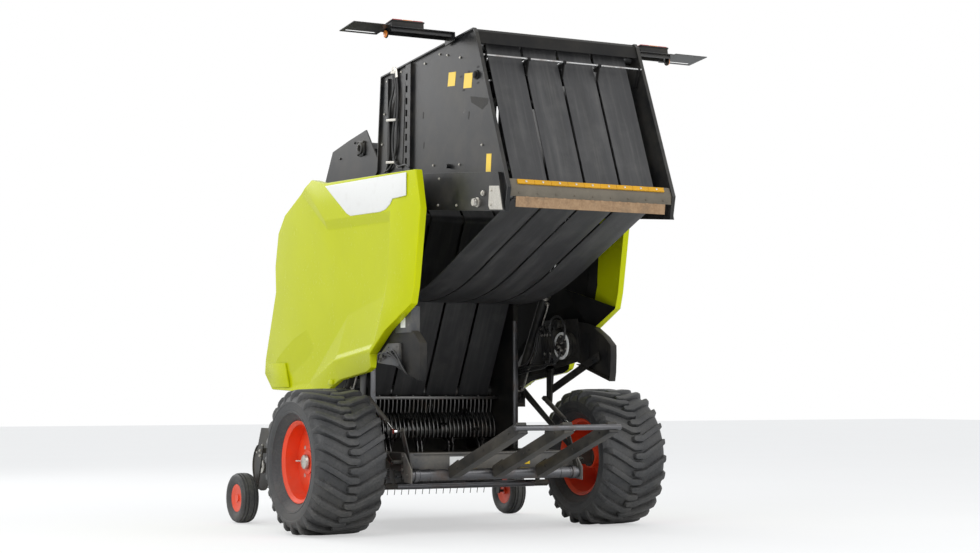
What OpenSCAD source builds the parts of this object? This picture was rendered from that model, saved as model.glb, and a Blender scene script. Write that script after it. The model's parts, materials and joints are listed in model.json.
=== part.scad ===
// Towed round baler with a variable belt chamber, parked on its wheels and jack with the tailgate up.
// Lengths are millimetres, +X points to the towing eye, +Y to the left side, +Z up.
// Modules place their pieces from the axle: x = 0 is above it, and placed() moves them to the origin.

/* [Wheels] */
// Diameter of the main tyres over their lugs
tyre_d = 1075; // [1040:5:1120]
// Width of a main tyre
tyre_w = 560; // [500:10:580]
// Distance between the middle planes of the two main tyres
track_w = 2430; // [2400:10:2500]
// Diameter of a main rim over its flanges
rim_d = 606; // [580:2:630]
// Width of a main rim between its flanges' outer faces
rim_w = 430; // [380:10:450]
// Diameter of the stub axle that carries each hub
stub_d = 70; // [56:2:90]
// Side of the square axle beam
axle_side = 110; // [90:5:120]
// Diameter of the pick-up's gauge wheels
gauge_d = 400; // [360:10:440]
// Width of a gauge wheel
gauge_w = 150; // [120:5:180]
// Number of lugs in each of a main tyre's two rows
lug_count = 24; // [20:1:26]
// Height of a main tyre's lugs
lug_h = 32; // [26:1:36]

/* [Chamber] */
// Distance between the inner faces of the fixed side walls
chamber_w = 1230; // [1200:10:1260]
// Thickness of the fixed side walls
wall_t = 10; // [6:1:14]
// Width of one belt
belt_w = 273; // [240:1:280]
// Distance from one belt to the next, middle to middle
belt_pitch = 295; // [290:1:300]
// Thickness of a belt
belt_t = 8; // [5:1:12]
// Diameter of the rollers that guide the belts
roller_d = 90; // [70:2:110]

/* [Tailgate] */
// Angle at which the tailgate stands open
gate_open = 85; // [60:1:88]
// Gap between a fixed wall's outer face and a gate sheet's inner face
gate_gap = 35; // [25:1:45]
// Thickness of the gate's side sheets
sheet_t = 10; // [6:1:14]
// Diameter of the gate's pivot pins
pivot_d = 60; // [40:2:80]
// Depth of the boxed band along the gate's front edge
band_t = 28; // [16:2:32]

/* [Cylinders] */
// Diameter of a gate cylinder's barrel
barrel_d = 80; // [66:2:84]
// Diameter of a gate cylinder's rod
rod_d = 45; // [36:1:50]
// Distance of the gate cylinders from the middle plane
cyl_y = 757; // [755:1:760]

/* [Hoods] */
// Distance of a side hood's outer face from the middle plane
hood_y = 910; // [900:2:920]
// Depth of a side hood's turned edge
hood_depth = 68; // [50:2:70]
// Thickness of a side hood's skin
hood_t = 5; // [3:1:8]

/* [Feeding] */
// Radius of the feed rotor over its tines
rotor_r = 235; // [220:5:240]
// Radius of the pick-up reel over its tines
reel_r = 265; // [250:5:270]
// Radius of the stripper bands around the reel
band_r = 175; // [165:5:185]
// Distance from one stripper band to the next
band_pitch = 66; // [64:1:70]
// Number of stripper bands
band_count = 32; // [28:2:32]

/* [Drawbar] */
// Height of the towing eye's middle above the ground
eye_z = 480; // [420:10:520]
// Diameter of the towing eye's hole
eye_bore = 50; // [40:1:60]
// Distance of the parking jack ahead of the axle
jack_x = 2700; // [2600:10:2900]
// Diameter of the jack's leg
leg_d = 60; // [50:2:70]

/* [Ramp] */
// Diameter of the bale ramp's pivot tube
ramp_tube_d = 85; // [70:1:100]
// Distance between the middles of neighbouring ramp arms
ramp_pitch = 375; // [340:5:400]

/* [Hidden] */
$fn = 48;
fit = 0.05;
seat = 0.3;
axle_z = tyre_d / 2;
wheel_y = track_w / 2;
wall_in = chamber_w / 2;
wall_out = wall_in + wall_t;
sheet_in = wall_out + gate_gap;
sheet_out = sheet_in + sheet_t;
band_out = sheet_out + band_t;
flange_h = 18;
roller_r = roller_d / 2;
hub_r = 88;
hub_in = 130;
hub_out = 110;
beam_end = wheel_y - hub_in - 10;
tyre_r = tyre_d / 2;
tread_r = tyre_r - lug_h;
rim_r = rim_d / 2;
well_r = rim_r - 19;
gauge_r = gauge_d / 2;
gauge_rim_r = 110;

// Points are [x, z] from the axle
pivot = [200, 2620];
cyl_base = [600, 1020];
cyl_eye = [298, 2130];
hood_hinge = [800, 2668];
hinge_x = [480, 860];
gate_lip = [210, 630];

// Belt rollers: gate rollers with the gate closed, then the fixed ones
gate_low = [240, 760];
gate_rear = [-800, 1270];
gate_top = [-520, 2510];
gate_front = [-10, 2510];
front_low = [800, 1060];
front_top = [620, 2960];
front_nose = [1290, 2050];
arm_low = [250, 1800];
arm_top = [150, 2380];

rotor_at = [760, 745];
reel_at = [1530, 450];
lift_at = [1130, 700];
ramp_at = [-400, 440];
eye_at = 3630;
eye_r = 62;
tongue_x = eye_at - 370;

// The origin lies midway between the towing eye's front and the open gate's rear corner
gate_corner = gate_lip - pivot;
gate_rear_x = pivot[0] + gate_corner[0] * cos(gate_open) + (gate_corner[1] - 10) * sin(gate_open);
mid_x = (eye_at + eye_r + gate_rear_x) / 2;
gauge_at = [1545, 1235];

function unit(v) = v / norm(v);
function arc(at, r, a0, a1, n) = [for (i = [0:n]) let (a = a0 + (a1 - a0) * i / n)
    [at[0] + r * cos(a), at[1] + r * sin(a)]];
function outward(a, b) = let (d = unit(b - a)) [d[1], -d[0]];
// Corners of an outline moved inwards by d, for outlines that run anticlockwise
function inset(p, d) = [for (i = [0:len(p) - 1])
    let (n = len(p), a = p[(i + n - 1) % n], b = p[i], c = p[(i + 1) % n],
        u = outward(a, b), v = outward(b, c), k = d / (1 + u * v))
    b - k * (u + v)];

module placed() {
    translate([-mid_x, 0, 0]) children();
}

module both_sides() {
    children();
    mirror([0, 1, 0]) children();
}

// A plate in the plane of x and z, between y0 and y1
module xz_plate(points, y0, y1) {
    translate([0, y1, 0]) rotate([90, 0, 0]) linear_extrude(y1 - y0) polygon(points);
}

// A round bar along y
module y_bar(at, r, y0, y1) {
    translate([at[0], y1, at[1]]) rotate([90, 0, 0]) cylinder(r = r, h = y1 - y0);
}

module y_tube(at, r, bore, y0, y1) {
    difference() {
        y_bar(at, r, y0, y1);
        y_bar(at, bore, y0 - 1, y1 + 1);
    }
}

module box(x, y, z) {
    translate([x[0], y[0], z[0]]) cube([x[1] - x[0], y[1] - y[0], z[1] - z[0]]);
}

// Turns pieces drawn about the middle to stand round a cross shaft
module around_y(at, a) {
    translate([at[0], 0, at[1]]) rotate([0, a, 0]) children();
}

// A square bar between two points of one plane y
module xz_bar(a, b, w, y0, y1) {
    d = unit(b - a);
    n = [-d[1], d[0]] * w / 2;
    xz_plate([a - n, b - n, b + n, a + n], y0, y1);
}

// The outline round a ring of equal rollers, listed anticlockwise
module loop_outline(centres, r) {
    n = len(centres);
    polygon([for (i = [0:n - 1]) let (a = centres[i], b = centres[(i + 1) % n], o = outward(a, b) * r)
        each [a + o, b + o]]);
    for (c = centres) translate(c) circle(r);
}

// Four belts round rollers, cut back to an area
module belts(centres) {
    for (i = [0:3]) {
        y = (i - 1.5) * belt_pitch;
        translate([0, y + belt_w / 2, 0]) rotate([90, 0, 0]) linear_extrude(belt_w)
            difference() {
                loop_outline(centres, roller_r + belt_t);
                loop_outline(centres, roller_r);
            }
    }
}

// Turns a gate piece from its closed place to where it stands
module opened() {
    translate([pivot[0], 0, pivot[1]]) rotate([0, gate_open, 0]) translate([-pivot[0], 0, -pivot[1]])
        children();
}

wall_outline = [[390, 600], [1190, 600], [1190, 780], [1450, 1050], [1550, 1900], [1500, 2450],
    [1170, 2990], [860, 3050], [550, 3100], [235, 2715], [150, 2705], [105, 2620], [150, 2545],
    [390, 2500]];
gate_outline = [[375, 640], [375, 2500], [290, 2700], [120, 2700], [80, 2660], [-640, 2660],
    [-910, 1210], [-880, 1175], gate_lip - [0, 10]];
hood_outline = [[960, 2730], [720, 2680], [-830, 2640], [-900, 2350], [-800, 1800], [-760, 1680],
    [-370, 1500], [-110, 1330], [-90, 1230], [-10, 1200], [480, 1140], [700, 1060], [850, 1040],
    [1770, 1070], [1920, 1200], [1900, 1320], [1680, 1870], [1690, 2080], [1630, 2350], [1500, 2490],
    [1170, 2640]];

// The part of a hood that stands proud round its top and rear edges
hood_border = [[1170, 2640], [960, 2730], [720, 2680], [-830, 2640], [-900, 2350], [-800, 1800],
    [-760, 1680], [-370, 1500], [-110, 1330], [-95, 1370], [-280, 1750], [-340, 1900], [-380, 2300], [690, 2310]];
hood_step = 20;

module main_frame() {
    placed() color("#26282a") {
        both_sides() difference() {
            box([-300, 1190], [wall_out, wall_out + 80], [470, 600]);
            box([-axle_side / 2, axle_side / 2], [wall_out - 1, wall_out + 81],
                [axle_z - axle_side / 2, axle_z + axle_side / 2]);
        }
        box([1380, 1560], [-wall_in, wall_in], [1030, 1160]);
        xz_plate([[1195, 783], [1202, 777], [1450, 1034], [1440, 1040]], -wall_in, wall_in);
        both_sides() lift_ear();
        both_sides() base_clevis();
    }
}

// The ear that carries the pick-up's hinge pin
module lift_ear() {
    xz_plate([[1070, 600], [1190, 600], [1190, 760], [1070, 760]], wall_out + 40, wall_out + 60);
    y_bar(lift_at, 20, wall_out + 60, wall_out + 100);
}

// The clevis that carries a gate cylinder's base
module base_clevis() {
    gap = barrel_d / 2 + 3;
    difference() {
        xz_plate([[540, 930], [660, 930], [660, 1080], [540, 1080]], wall_out, cyl_y + gap + 12);
        xz_plate([[500, 962], [700, 962], [700, 1100], [500, 1100]], cyl_y - gap, cyl_y + gap);
    }
    y_bar(cyl_base, 20, cyl_y - gap - 6, cyl_y + gap + 6);
}

module axle_beam() {
    placed() color("#26282a") {
        h = axle_side / 2;
        box([-h, h], [-beam_end, beam_end], [axle_z - h, axle_z + h]);
        both_sides() {
            y_bar([0, axle_z], 75, beam_end, wheel_y - hub_in - seat);
            y_bar([0, axle_z], stub_d / 2, beam_end, wheel_y + hub_out - 12);
        }
    }
}

module side_wall() {
    difference() {
        xz_plate(wall_outline, wall_in, wall_out);
        y_bar(rotor_at, 25 + fit, wall_in - 1, wall_out + 1);
    }
    box([390, 430], [wall_out, wall_out + 32], [600, 2480]);
    y_bar(pivot, 75, wall_in, wall_out + gate_gap - 6);
    y_bar(pivot, pivot_d / 2, wall_out, band_out + 4);
}

module side_wall_left() {
    placed() color("#1d1f21") side_wall();
}

module side_wall_right() {
    placed() color("#1d1f21") mirror([0, 1, 0]) side_wall();
}

module top_frame() {
    placed() color("#1d1f21") {
        y = wall_in;
        box([1090, 1150], [-y, y], [2860, 2920]);
        box([420, 480], [-y, y], [2890, 2940]);
        both_sides() for (x = hinge_x) {
            box([x, x + 60], [wall_out, hood_hinge[0] + 15], [hood_hinge[1] - 15, hood_hinge[1] + 15]);
            translate([x + 60, hood_hinge[0], hood_hinge[1]]) rotate([0, 90, 0]) cylinder(r = 12, h = 60);
        }
    }
}

module front_cover() {
    placed() color("#26282a") difference() {
        xz_plate([[1450, 1160], [1640, 1160], [1830, 1350], [1830, 2150], [1600, 2440], [1500, 2440],
            [1550, 1900]], -wall_in, wall_in);
        xz_plate([[1400, 1172], [1634, 1172], [1818, 1354], [1818, 2146], [1594, 2428], [1400, 2428]],
            -wall_in + 12, wall_in - 12);
    }
}

module drawbar() {
    placed() color("#26282a") {
        xz_plate([[1560, 1030], [1560, 1160], [2250, 1040], [tongue_x - 30, eye_z + 60],
            [tongue_x - 30, eye_z - 60], [2150, 880]], -75, 75);
        box([3040, 3075], [-24, 24], [600, 814.8]);
        box([tongue_x - 30, tongue_x], [-95, 95], [eye_z - 110, eye_z + 110]);
        box([jack_x - 60, jack_x + 60], [75, 100], [640, 780]);
    }
}

module towing_eye() {
    placed() color("#303234") difference() {
        union() {
            box([tongue_x, tongue_x + 25], [-80, 80], [eye_z - 80, eye_z + 80]);
            box([tongue_x + 25, eye_at - 30], [-32, 32], [eye_z - 22, eye_z + 22]);
            translate([eye_at, 0, eye_z - 22]) cylinder(r = eye_r, h = 44);
        }
        translate([eye_at, 0, eye_z - 30]) cylinder(r = eye_bore / 2, h = 60);
    }
}

module jack_tube() {
    placed() color("#303234") difference() {
        union() {
            translate([jack_x, 140, 330]) cylinder(r = 38, h = 640);
            box([jack_x - 45, jack_x + 45], [100, 140], [650, 770]);
        }
        translate([jack_x, 140, 320]) cylinder(r = leg_d / 2 + fit, h = 620);
    }
}

module jack_leg() {
    placed() color("#8b8f92") {
        translate([jack_x, 140, 8]) cylinder(r = leg_d / 2, h = 672);
        box([jack_x - 90, jack_x + 90], [50, 230], [0, 12]);
    }
}

module gearbox() {
    placed() color("#303234") {
        box([1830, 1850], [-150, 150], [1120, 1420]);
        box([1850, 2050], [-110, 110], [1150, 1390]);
        translate([2050, 0, 1270]) rotate([0, 90, 0]) cylinder(r = 80, h = 30);
        translate([2080, 0, 1270]) rotate([0, 90, 0]) cylinder(r = 17.5, h = 75);
    }
}

shaft_back = [2190, 1262];
shaft_front = [3190, 810];

module drive_shaft() {
    placed() color("#1a1b1c") {
        d = shaft_front - shaft_back;
        a = atan2(d[1], d[0]);
        difference() {
            translate([2085, 0, 1270]) rotate([0, 90, 0]) cylinder(r = 55, h = 100);
            translate([2080, 0, 1270]) rotate([0, 90, 0]) cylinder(r = 17.5 + fit, h = 76);
        }
        translate([shaft_back[0] - 15, 0, shaft_back[1] + 6]) rotate([0, -a, 0]) {
            rotate([0, 90, 0]) cylinder(r = 52, h = 520);
            rotate([0, 90, 0]) cylinder(r = 42, h = 1060);
            difference() {
                rotate([0, 90, 0]) cylinder(r = 32, h = 1170);
                translate([1100, 0, 0]) rotate([0, 90, 0]) cylinder(r = 17.5, h = 71);
            }
        }
    }
}

module front_rollers() {
    placed() color("#3a3c3e") {
        for (c = [front_low, front_top, front_nose]) y_bar(c, roller_r, -wall_in, wall_in);
    }
}

module tension_arms() {
    placed() color("#303234") {
        for (c = [arm_low, arm_top]) y_bar(c, roller_r, -wall_in + 22, wall_in - 22);
        both_sides() {
            xz_plate([arm_low + [-50, -50], arm_low + [50, -60], [900, 2250], [940, 2320], [900, 2400],
                arm_top + [0, 65], arm_top + [-60, 0]], wall_in - 22, wall_in - 10);
            y_bar([880, 2320], 40, wall_in - 22, wall_in);
        }
    }
}

module front_belts() {
    placed() color("#2b2c2d") belts([front_low, front_nose, front_top, arm_top]);
}

comb_count = 31;
comb_pitch = 37;
comb_w = 12;

module feed_comb() {
    placed() color("#303234") {
        for (i = [0:comb_count - 1]) {
            y = (i - (comb_count - 1) / 2) * comb_pitch;
            xz_plate(concat(arc(rotor_at, 175, 200, 125, 8), [[645, 1005], [690, 1005]],
                arc(rotor_at, 150, 105, 200, 10)), y - comb_w / 2, y + comb_w / 2);
        }
        box([640, 700], [-wall_in, wall_in], [990, 1015]);
    }
}

module feed_floor() {
    placed() color("#303234") {
        xz_plate(concat([[360, 470]], arc(rotor_at, rotor_r + 20, 235, 320, 10),
            [[1150, 560], [1180, 560], [1180, 530], [980, 440], [900, 420], [560, 420]]),
            -wall_out, wall_out);
        for (i = [0:13]) box([580, 680], [i * 80 - 535, i * 80 - 505], [330, 420]);
        y_bar([50, 340], 25, -720, 720);
        both_sides() box([30, 70], [wall_out, wall_out + 20], [340, 470]);
    }
}

module rear_beam() {
    placed() color("#3a3c3e") {
        box([-350, -300], [-700, 700], [450, 600]);
        both_sides() {
            xz_plate([[-300, 600], [-350, 600], [-460, 480], [-460, 380], [-350, 390], [-300, 450]],
                725, 737);
            box([-350, -300], [700, 737], [450, 530]);
            y_bar(ramp_at, 20, 660, 725);
        }
    }
}

module hydraulic_unit() {
    placed() color("#26282a") mirror([0, 1, 0]) {
        side_bracket();
        box([-20, 160], [735, 820], [1300, 1540]);
        y_bar([-140, 1410], 105, 740, 820);
        y_bar([-60, 1580], 36, 740, 820);
    }
}

// The plate that carries the parts behind a hood, stood off the side wall
module side_bracket() {
    xz_plate([[720, 1150], [720, 1250], [300, 1620], [-250, 1620], [-280, 1290], [300, 1200]], 820, 830);
    box([640, 720], [wall_out, 820], [1150, 1250]);
}

module side_boxes() {
    placed() color("#26282a") {
        side_bracket();
        box([-240, -40], [735, 820], [1400, 1600]);
        box([-20, 180], [735, 820], [1300, 1540]);
        xz_plate([[110, 1260], [230, 1260], [200, 970], [140, 970]], 820, 830);
        y_bar(strut_foot, 8, 750, 820);
    }
}

module mudguards() {
    placed() color("#1a1b1c") both_sides() {
        xz_plate([[-200, 1290], [-770, 1130], [-790, 1400], [-560, 1540], [-200, 1600]], 830, 834);
        xz_plate([[-300, 1262], [-770, 1130], [-790, 1400], [-560, 1540], [-560, 1534], [-784, 1398],
            [-765, 1136], [-300, 1267]], 780, 830);
    }
}

span_points = [[-1667.4, 2376.2], [-1300, 2215], [-950, 2062], [-650, 1930], [-380, 1832], [-150, 1778],
    [60, 1757], [250, 1754]];

module belt_span() {
    placed() color("#2b2c2d") for (i = [0:3]) {
        y = (i - 1.5) * belt_pitch;
        n = len(span_points);
        xz_plate(concat(span_points, [for (k = [n - 1:-1:0]) span_points[k] - [0, belt_t]]),
            y - belt_w / 2, y + belt_w / 2);
    }
}

module hood() {
    face = hood_y - hood_step;
    difference() {
        union() {
            xz_plate(hood_outline, hood_y - hood_depth, face);
            xz_plate(hood_border, face - hood_t, hood_y);
        }
        xz_plate(inset(hood_outline, hood_t), hood_y - hood_depth - 1, face - hood_t);
        xz_plate(inset(hood_border, hood_t), face - hood_t - 1, hood_y - hood_t);
    }
    for (x = hinge_x + [70, 70]) difference() {
        union() {
            box([x, x + 40], [hood_hinge[0], hood_y - hood_t], [hood_hinge[1] - 20, hood_hinge[1]]);
            translate([x, hood_hinge[0], hood_hinge[1]]) rotate([0, 90, 0]) cylinder(r = 22, h = 40);
        }
        translate([x - 1, hood_hinge[0], hood_hinge[1]]) rotate([0, 90, 0]) cylinder(r = 12 + fit, h = 42);
    }
}

module hood_left() {
    placed() color("#c6d20a") hood();
}

module hood_right() {
    placed() color("#c6d20a") mirror([0, 1, 0]) hood();
}

module gate_sheet() {
    difference() {
        union() {
            xz_plate(gate_outline, sheet_in, sheet_out);
            xz_plate([[375, 640], [375, 2480], [285, 2690], [115, 2690], [115, 740]], sheet_out, band_out);
            difference() {
                xz_plate([[115, 2090], [115, 2170], [-700, 2230], [-715, 2150]], sheet_out, sheet_out + 22);
                for (x = [-640:90:20]) xz_plate([[x, 2145 - x / 14], [x + 50, 2142 - x / 14],
                    [x + 50, 2172 - x / 14], [x, 2175 - x / 14]], sheet_out + 6, sheet_out + 23);
            }
            difference() {
                xz_plate(gate_outline, sheet_out, sheet_out + flange_h);
                xz_plate(inset(gate_outline, sheet_t), sheet_out - 1, sheet_out + flange_h + 1);
            }
            xz_plate([[205, 715], [365, 655], [365, 830], [340, 850], [205, 850]], band_out, band_out + 5);
            y_bar([318, 1010], 24, band_out, band_out + 40);
            y_bar([60, 1500], 16, band_out - band_t, band_out + 4);
        }
        y_bar(pivot, pivot_d / 2 + fit, sheet_in - 1, band_out + 1);
    }
    y_bar(cyl_eye, 50, band_out, band_out + 4);
}

module gate_sheet_left() {
    placed() color("#1d1f21") opened() gate_sheet();
}

module gate_sheet_right() {
    placed() color("#1d1f21") mirror([0, 1, 0]) opened() gate_sheet();
}

// The rod across the belts near the gate's rear roller, with a finger between each two belts
finger_rod = [-715, 1095];

module gate_cross() {
    placed() color("#1d1f21") opened() {
        w = sheet_in;
        xz_plate([[-640, 2660], [-640, 2600], [-560, 2600], [-560, 2660]], -w, w);
        xz_plate([[-905, 1225], [-885, 1185], [-800, 1145], [-800, 1155], [-878, 1194], [-896, 1228]], -w, w);
        y_bar([-640, 1800], 30, -w, w);
        y_bar(finger_rod, 8, -w, w);
        for (i = [-1:1]) xz_bar(finger_rod, finger_rod + [33, 67], 22, i * belt_pitch - 4, i * belt_pitch + 4);
    }
}

module gate_lip_plate() {
    placed() color("#6c6f72") opened() {
        w = sheet_in;
        xz_plate([gate_lip + [-60, 34], gate_lip + [0, 0], gate_lip + [60, 0], gate_lip + [60, 8],
            gate_lip + [4, 8], gate_lip + [-54, 42]], -w, w);
    }
}

module lip_bar() {
    d = unit([-60, 34]);
    n = [-d[1], d[0]];
    a = gate_lip + 26 * d + n * fit;
    b = gate_lip + 60 * d + n * fit;
    placed() color("#e8a30c") opened() xz_plate([a, b, b + 14 * n, a + 14 * n], -600, 600);
}

module gate_rollers() {
    placed() color("#3a3c3e") opened() for (c = [gate_low, gate_rear, gate_top, gate_front])
        y_bar(c, roller_r, -sheet_in, sheet_in);
}

module gate_belts() {
    placed() color("#2b2c2d") opened() difference() {
        belts([gate_low, gate_front, gate_top, gate_rear]);
        xz_plate([gate_low, gate_low + [120, -80], gate_front + [200, 0], gate_front], -620, 620);
    }
}

board_at = [-876, 1570];
board_lean = 12;
board_mid = wheel_y - 10;
board_end = wheel_y + tyre_w / 2;

// Leans a light board along the tailgate's sloping rear edge
module leaned() {
    translate([board_at[0], 0, board_at[1]]) rotate([0, board_lean, 0])
        translate([-board_at[0], 0, -board_at[1]]) children();
}

module light_boards() {
    x = board_at[0];
    y = sheet_out + flange_h + seat;
    placed() color("#26282a") both_sides() opened() leaned() {
        box([x, x + 5], [y, board_mid], [1470, 1620]);
        difference() {
            box([x, x + 5], [board_mid, board_end], [1450, 1690]);
            box([x - 1, x + 6], [board_mid + 30, board_end - 30], [1640, 1670]);
        }
        box([x + 5, x + 60], [y, y + 6], [1470, 1620]);
        for (z = [1500, 1590]) xz_bar([x + 5, z], [x + 30, z], 8, y + 6, board_mid - 20);
    }
}

module rear_lamps() {
    placed() color("#8a1414") both_sides() opened() leaned() {
        x = board_at[0];
        box([x - 65, x], [920, 1170], [1500, 1600]);
        y_bar([x + 35, 1560], 30, board_mid - 17, board_mid);
    }
}

// A cylinder is drawn along +Z from its base pin, then leaned to its rest angle
cyl_open = let (c = cyl_eye - pivot, a = gate_open)
    pivot + [c[0] * cos(a) + c[1] * sin(a), -c[0] * sin(a) + c[1] * cos(a)];
cyl_rest = norm(cyl_open - cyl_base);
cyl_lean = atan2(cyl_open[0] - cyl_base[0], cyl_open[1] - cyl_base[1]);
cyl_short = norm(cyl_eye - cyl_base);
barrel_l = cyl_short - 190;
rod_l = cyl_short - 100;

module on_cylinder() {
    translate([cyl_base[0], cyl_y, cyl_base[1]]) rotate([0, cyl_lean, 0]) children();
}

module barrel() {
    on_cylinder() difference() {
        union() {
            translate([0, 0, 30]) cylinder(d = barrel_d, h = barrel_l - 30);
            translate([0, 30, 0]) rotate([90, 0, 0]) cylinder(r = 36, h = 60);
        }
        translate([0, 0, 75]) cylinder(r = rod_d / 2 + fit, h = barrel_l);
        translate([0, 50, 0]) rotate([90, 0, 0]) cylinder(r = 20 + fit, h = 100);
    }
}

module rod() {
    on_cylinder() {
        translate([0, 0, cyl_rest - rod_l]) cylinder(d = rod_d, h = rod_l - 30);
        translate([0, 28, cyl_rest]) rotate([90, 0, 0]) cylinder(r = 38, h = 56);
    }
}

module barrel_left() {
    placed() color("#303234") barrel();
}

module barrel_right() {
    placed() color("#303234") mirror([0, 1, 0]) barrel();
}

module rod_left() {
    placed() color("#c8ccd0") rod();
}

module rod_right() {
    placed() color("#c8ccd0") mirror([0, 1, 0]) rod();
}

ramp_end = [-1450, 800];
strut_foot = [170, 1000];
strut_tip = [-270, 760];
strut_y = 775;
lever_y = band_out + 9;

module ramp() {
    placed() color("#2e3032") {
        r = ramp_tube_d / 2;
        y_tube(ramp_at, r, 20 + fit, 650, 720);
        y_tube(ramp_at, r, 20 + fit, -720, -650);
        y_bar(ramp_at, r, -650, 650);
        both_sides() y_tube(ramp_at, r + 8, r - 1, 660, 690);
        for (i = [-1:1]) difference() {
            xz_bar(ramp_at, ramp_end, 84, i * ramp_pitch - 40, i * ramp_pitch + 40);
            y_bar(ramp_at, r - 2, -700, 700);
        }
        y_bar(ramp_end, 20, -ramp_pitch - 60, ramp_pitch + 60);
    }
    placed() color("#2e3032") {
        xz_plate([ramp_at + [-30, 52], ramp_at + [30, 52], strut_tip + [26, 0], strut_tip + [0, 26],
            strut_tip + [-26, 0]], lever_y, lever_y + 10);
        box([ramp_at[0] - 30, ramp_at[0] + 30], [lever_y, lever_y + 10], [ramp_at[1] + 30, ramp_at[1] + 60]);
        y_bar(strut_tip, 10, lever_y + 10, strut_y - 20);
    }
}

strut_rest = norm(strut_tip - strut_foot);
strut_lean = atan2(strut_tip[0] - strut_foot[0], strut_tip[1] - strut_foot[1]);

module on_strut() {
    translate([strut_foot[0], strut_y, strut_foot[1]]) rotate([0, strut_lean, 0]) children();
}

module strut_barrel() {
    placed() color("#26282a") on_strut() difference() {
        union() {
            translate([0, 0, 12]) cylinder(r = 19, h = strut_rest - 150);
            translate([0, 12, 0]) rotate([90, 0, 0]) cylinder(r = 20, h = 24);
        }
        translate([0, 0, 40]) cylinder(r = 9 + fit, h = strut_rest);
        translate([0, 50, 0]) rotate([90, 0, 0]) cylinder(r = 8 + fit, h = 100);
    }
}

module strut_rod() {
    placed() color("#c8ccd0") on_strut() {
        translate([0, 0, 60]) cylinder(r = 9, h = strut_rest - 60 - 12);
        translate([0, 12, strut_rest]) rotate([90, 0, 0]) cylinder(r = 18, h = 24);
    }
}

module pickup_frame() {
    placed() color("#26282a") {
        w = band_count * band_pitch / 2;
        both_sides() {
            xz_plate(concat(arc(reel_at, band_r + 20, -110, 60, 10), [[1560, 760], [1180, 760],
                [1180, 560]]), w + 4, w + 14);
            difference() {
                xz_plate([[1090, 660], [1180, 660], [1270, 692], [1270, 748], [1090, 740]],
                    wall_out + 62, wall_out + 82);
                y_bar(lift_at, 20 + fit, 0, w);
            }
        }
        box([1215, 1275], [-w - 4, w + 4], [690, 750]);
        xz_plate([[1215, 695], [1225, 695], [1212, 505], [1202, 505]], -w, w);
        both_sides() {
            box([1400, 1440], [w + 14, 1120], [560, 600]);
            xz_plate([[1380, 620], [1400, 540], [1520, 180], [1570, 180], [1460, 620]], 1120, 1132);
            y_bar([gauge_at[0], gauge_r], 12, 1132, gauge_at[1] + 37);
        }
        y_bar(reel_at, 22, -w - 4, -w + 20);
        y_bar(reel_at, 22, w - 20, w + 4);
    }
}

module stripper_bands() {
    placed() color("#3a3c3e") {
        w = band_count * band_pitch / 2;
        for (i = [0:band_count - 1]) {
            y = i * band_pitch - w + 10;
            xz_plate(concat(arc(reel_at, band_r, -100, 90, 14), [[1275 + seat, 700], [1275 + seat, 697]],
                arc(reel_at, band_r - 4, 90, -100, 14)), y, y + band_pitch - 20);
        }
    }
}

module pickup_reel() {
    placed() color("#8b8f92") {
        w = band_count * band_pitch / 2;
        difference() {
            y_bar(reel_at, 40, -w + 4, w - 4);
            both_sides() y_bar(reel_at, 22 + fit, w - 22, w);
        }
        for (a = [0:90:270]) around_y(reel_at, a) {
            y_bar([0, 95], 12, -w + 8, w - 8);
            for (i = [0:4]) box([-15, 15], [-w + 20 + i * (w - 24) / 2, -w + 28 + i * (w - 24) / 2], [30, 95]);
            for (i = [1:band_count - 1]) xz_plate([[-12, 90], [10, 90], [4, 180], [-22, reel_r - 1],
                [-28, reel_r - 4], [-5, 180]], i * band_pitch - w - 3, i * band_pitch - w + 3);
        }
    }
}

module crop_roller() {
    placed() color("#303234") {
        y_bar([1690, 760], 50, -900, 900);
        both_sides() xz_plate([[1215, 750], [1275, 750], [1690, 710], [1730, 760], [1690, 810],
            [1220, 800]], 900, 910);
    }
}

module rotor() {
    placed() color("#303234") {
        y_bar(rotor_at, 70, -wall_in + 6, wall_in - 6);
        y_bar(rotor_at, 25, -wall_out - 40, wall_out + 40);
        for (s = [0:14], side = [0, 180], k = [0, 1]) {
            y = (2 * s + k - 14.5) * comb_pitch;
            if (abs(y) < wall_in - 20) around_y(rotor_at, s * 48 + side)
                xz_plate([[-24, 55], [24, 55], [16, 150], [-8, rotor_r - 13], [-26, rotor_r - 3], [-16, 150]],
                    y - 4, y + 4);
        }
    }
}

// Share of a pitch and height of the corners of a lug, in the outer row and in the inner one
lug_rows = [[[0.02, 0], [0.08, 1], [0.46, 1], [0.52, 0]], [[0.02, 0], [0.52, 0], [0.58, 1], [0.96, 1]]];
lug_lean = 14;
carcass_t = 28;
bead_out = rim_w / 2 - 28;
bead_in = rim_w / 2 - 60;
wide_r = rim_r + 0.41 * (tyre_r - rim_r);

module wheel_at(y) {
    translate([0, y, axle_z]) rotate([-90, 0, 0]) children();
}

// A ring of n points about z
function ring(r, z, n, turn = 0) = [for (i = [0:n - 1]) let (a = i * 360 / n + turn)
    [r * cos(a), r * sin(a), z]];

// A ring over one row of lugs, between the groove's radius and the lugs' tops
function lug_ring(low, top, z, row, turn) = [for (i = [0:lug_count - 1], c = lug_rows[row])
    let (a = (i + c[0]) * 360 / lug_count + turn, r = c[1] > 0 ? top : low) [r * cos(a), r * sin(a), z]];

// Triangles between two rings, the second with as many points as the first or fewer
function band(a, na, b, nb) = let (q = na / nb) [for (k = [0:nb - 1])
    each concat([for (s = [0:q - 1]) [a + k * q + s, b + k, a + (k * q + s + 1) % na]],
        [[a + (k * q + q) % na, b + k, b + (k + 1) % nb]])];
function bands(a, na, b, nb) = na >= nb ? band(a, na, b, nb)
    : [for (t = band(b, nb, a, na)) [t[0], t[2], t[1]]];
function first(rings, i) = i == 0 ? 0 : len(rings[i - 1]) + first(rings, i - 1);

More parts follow.
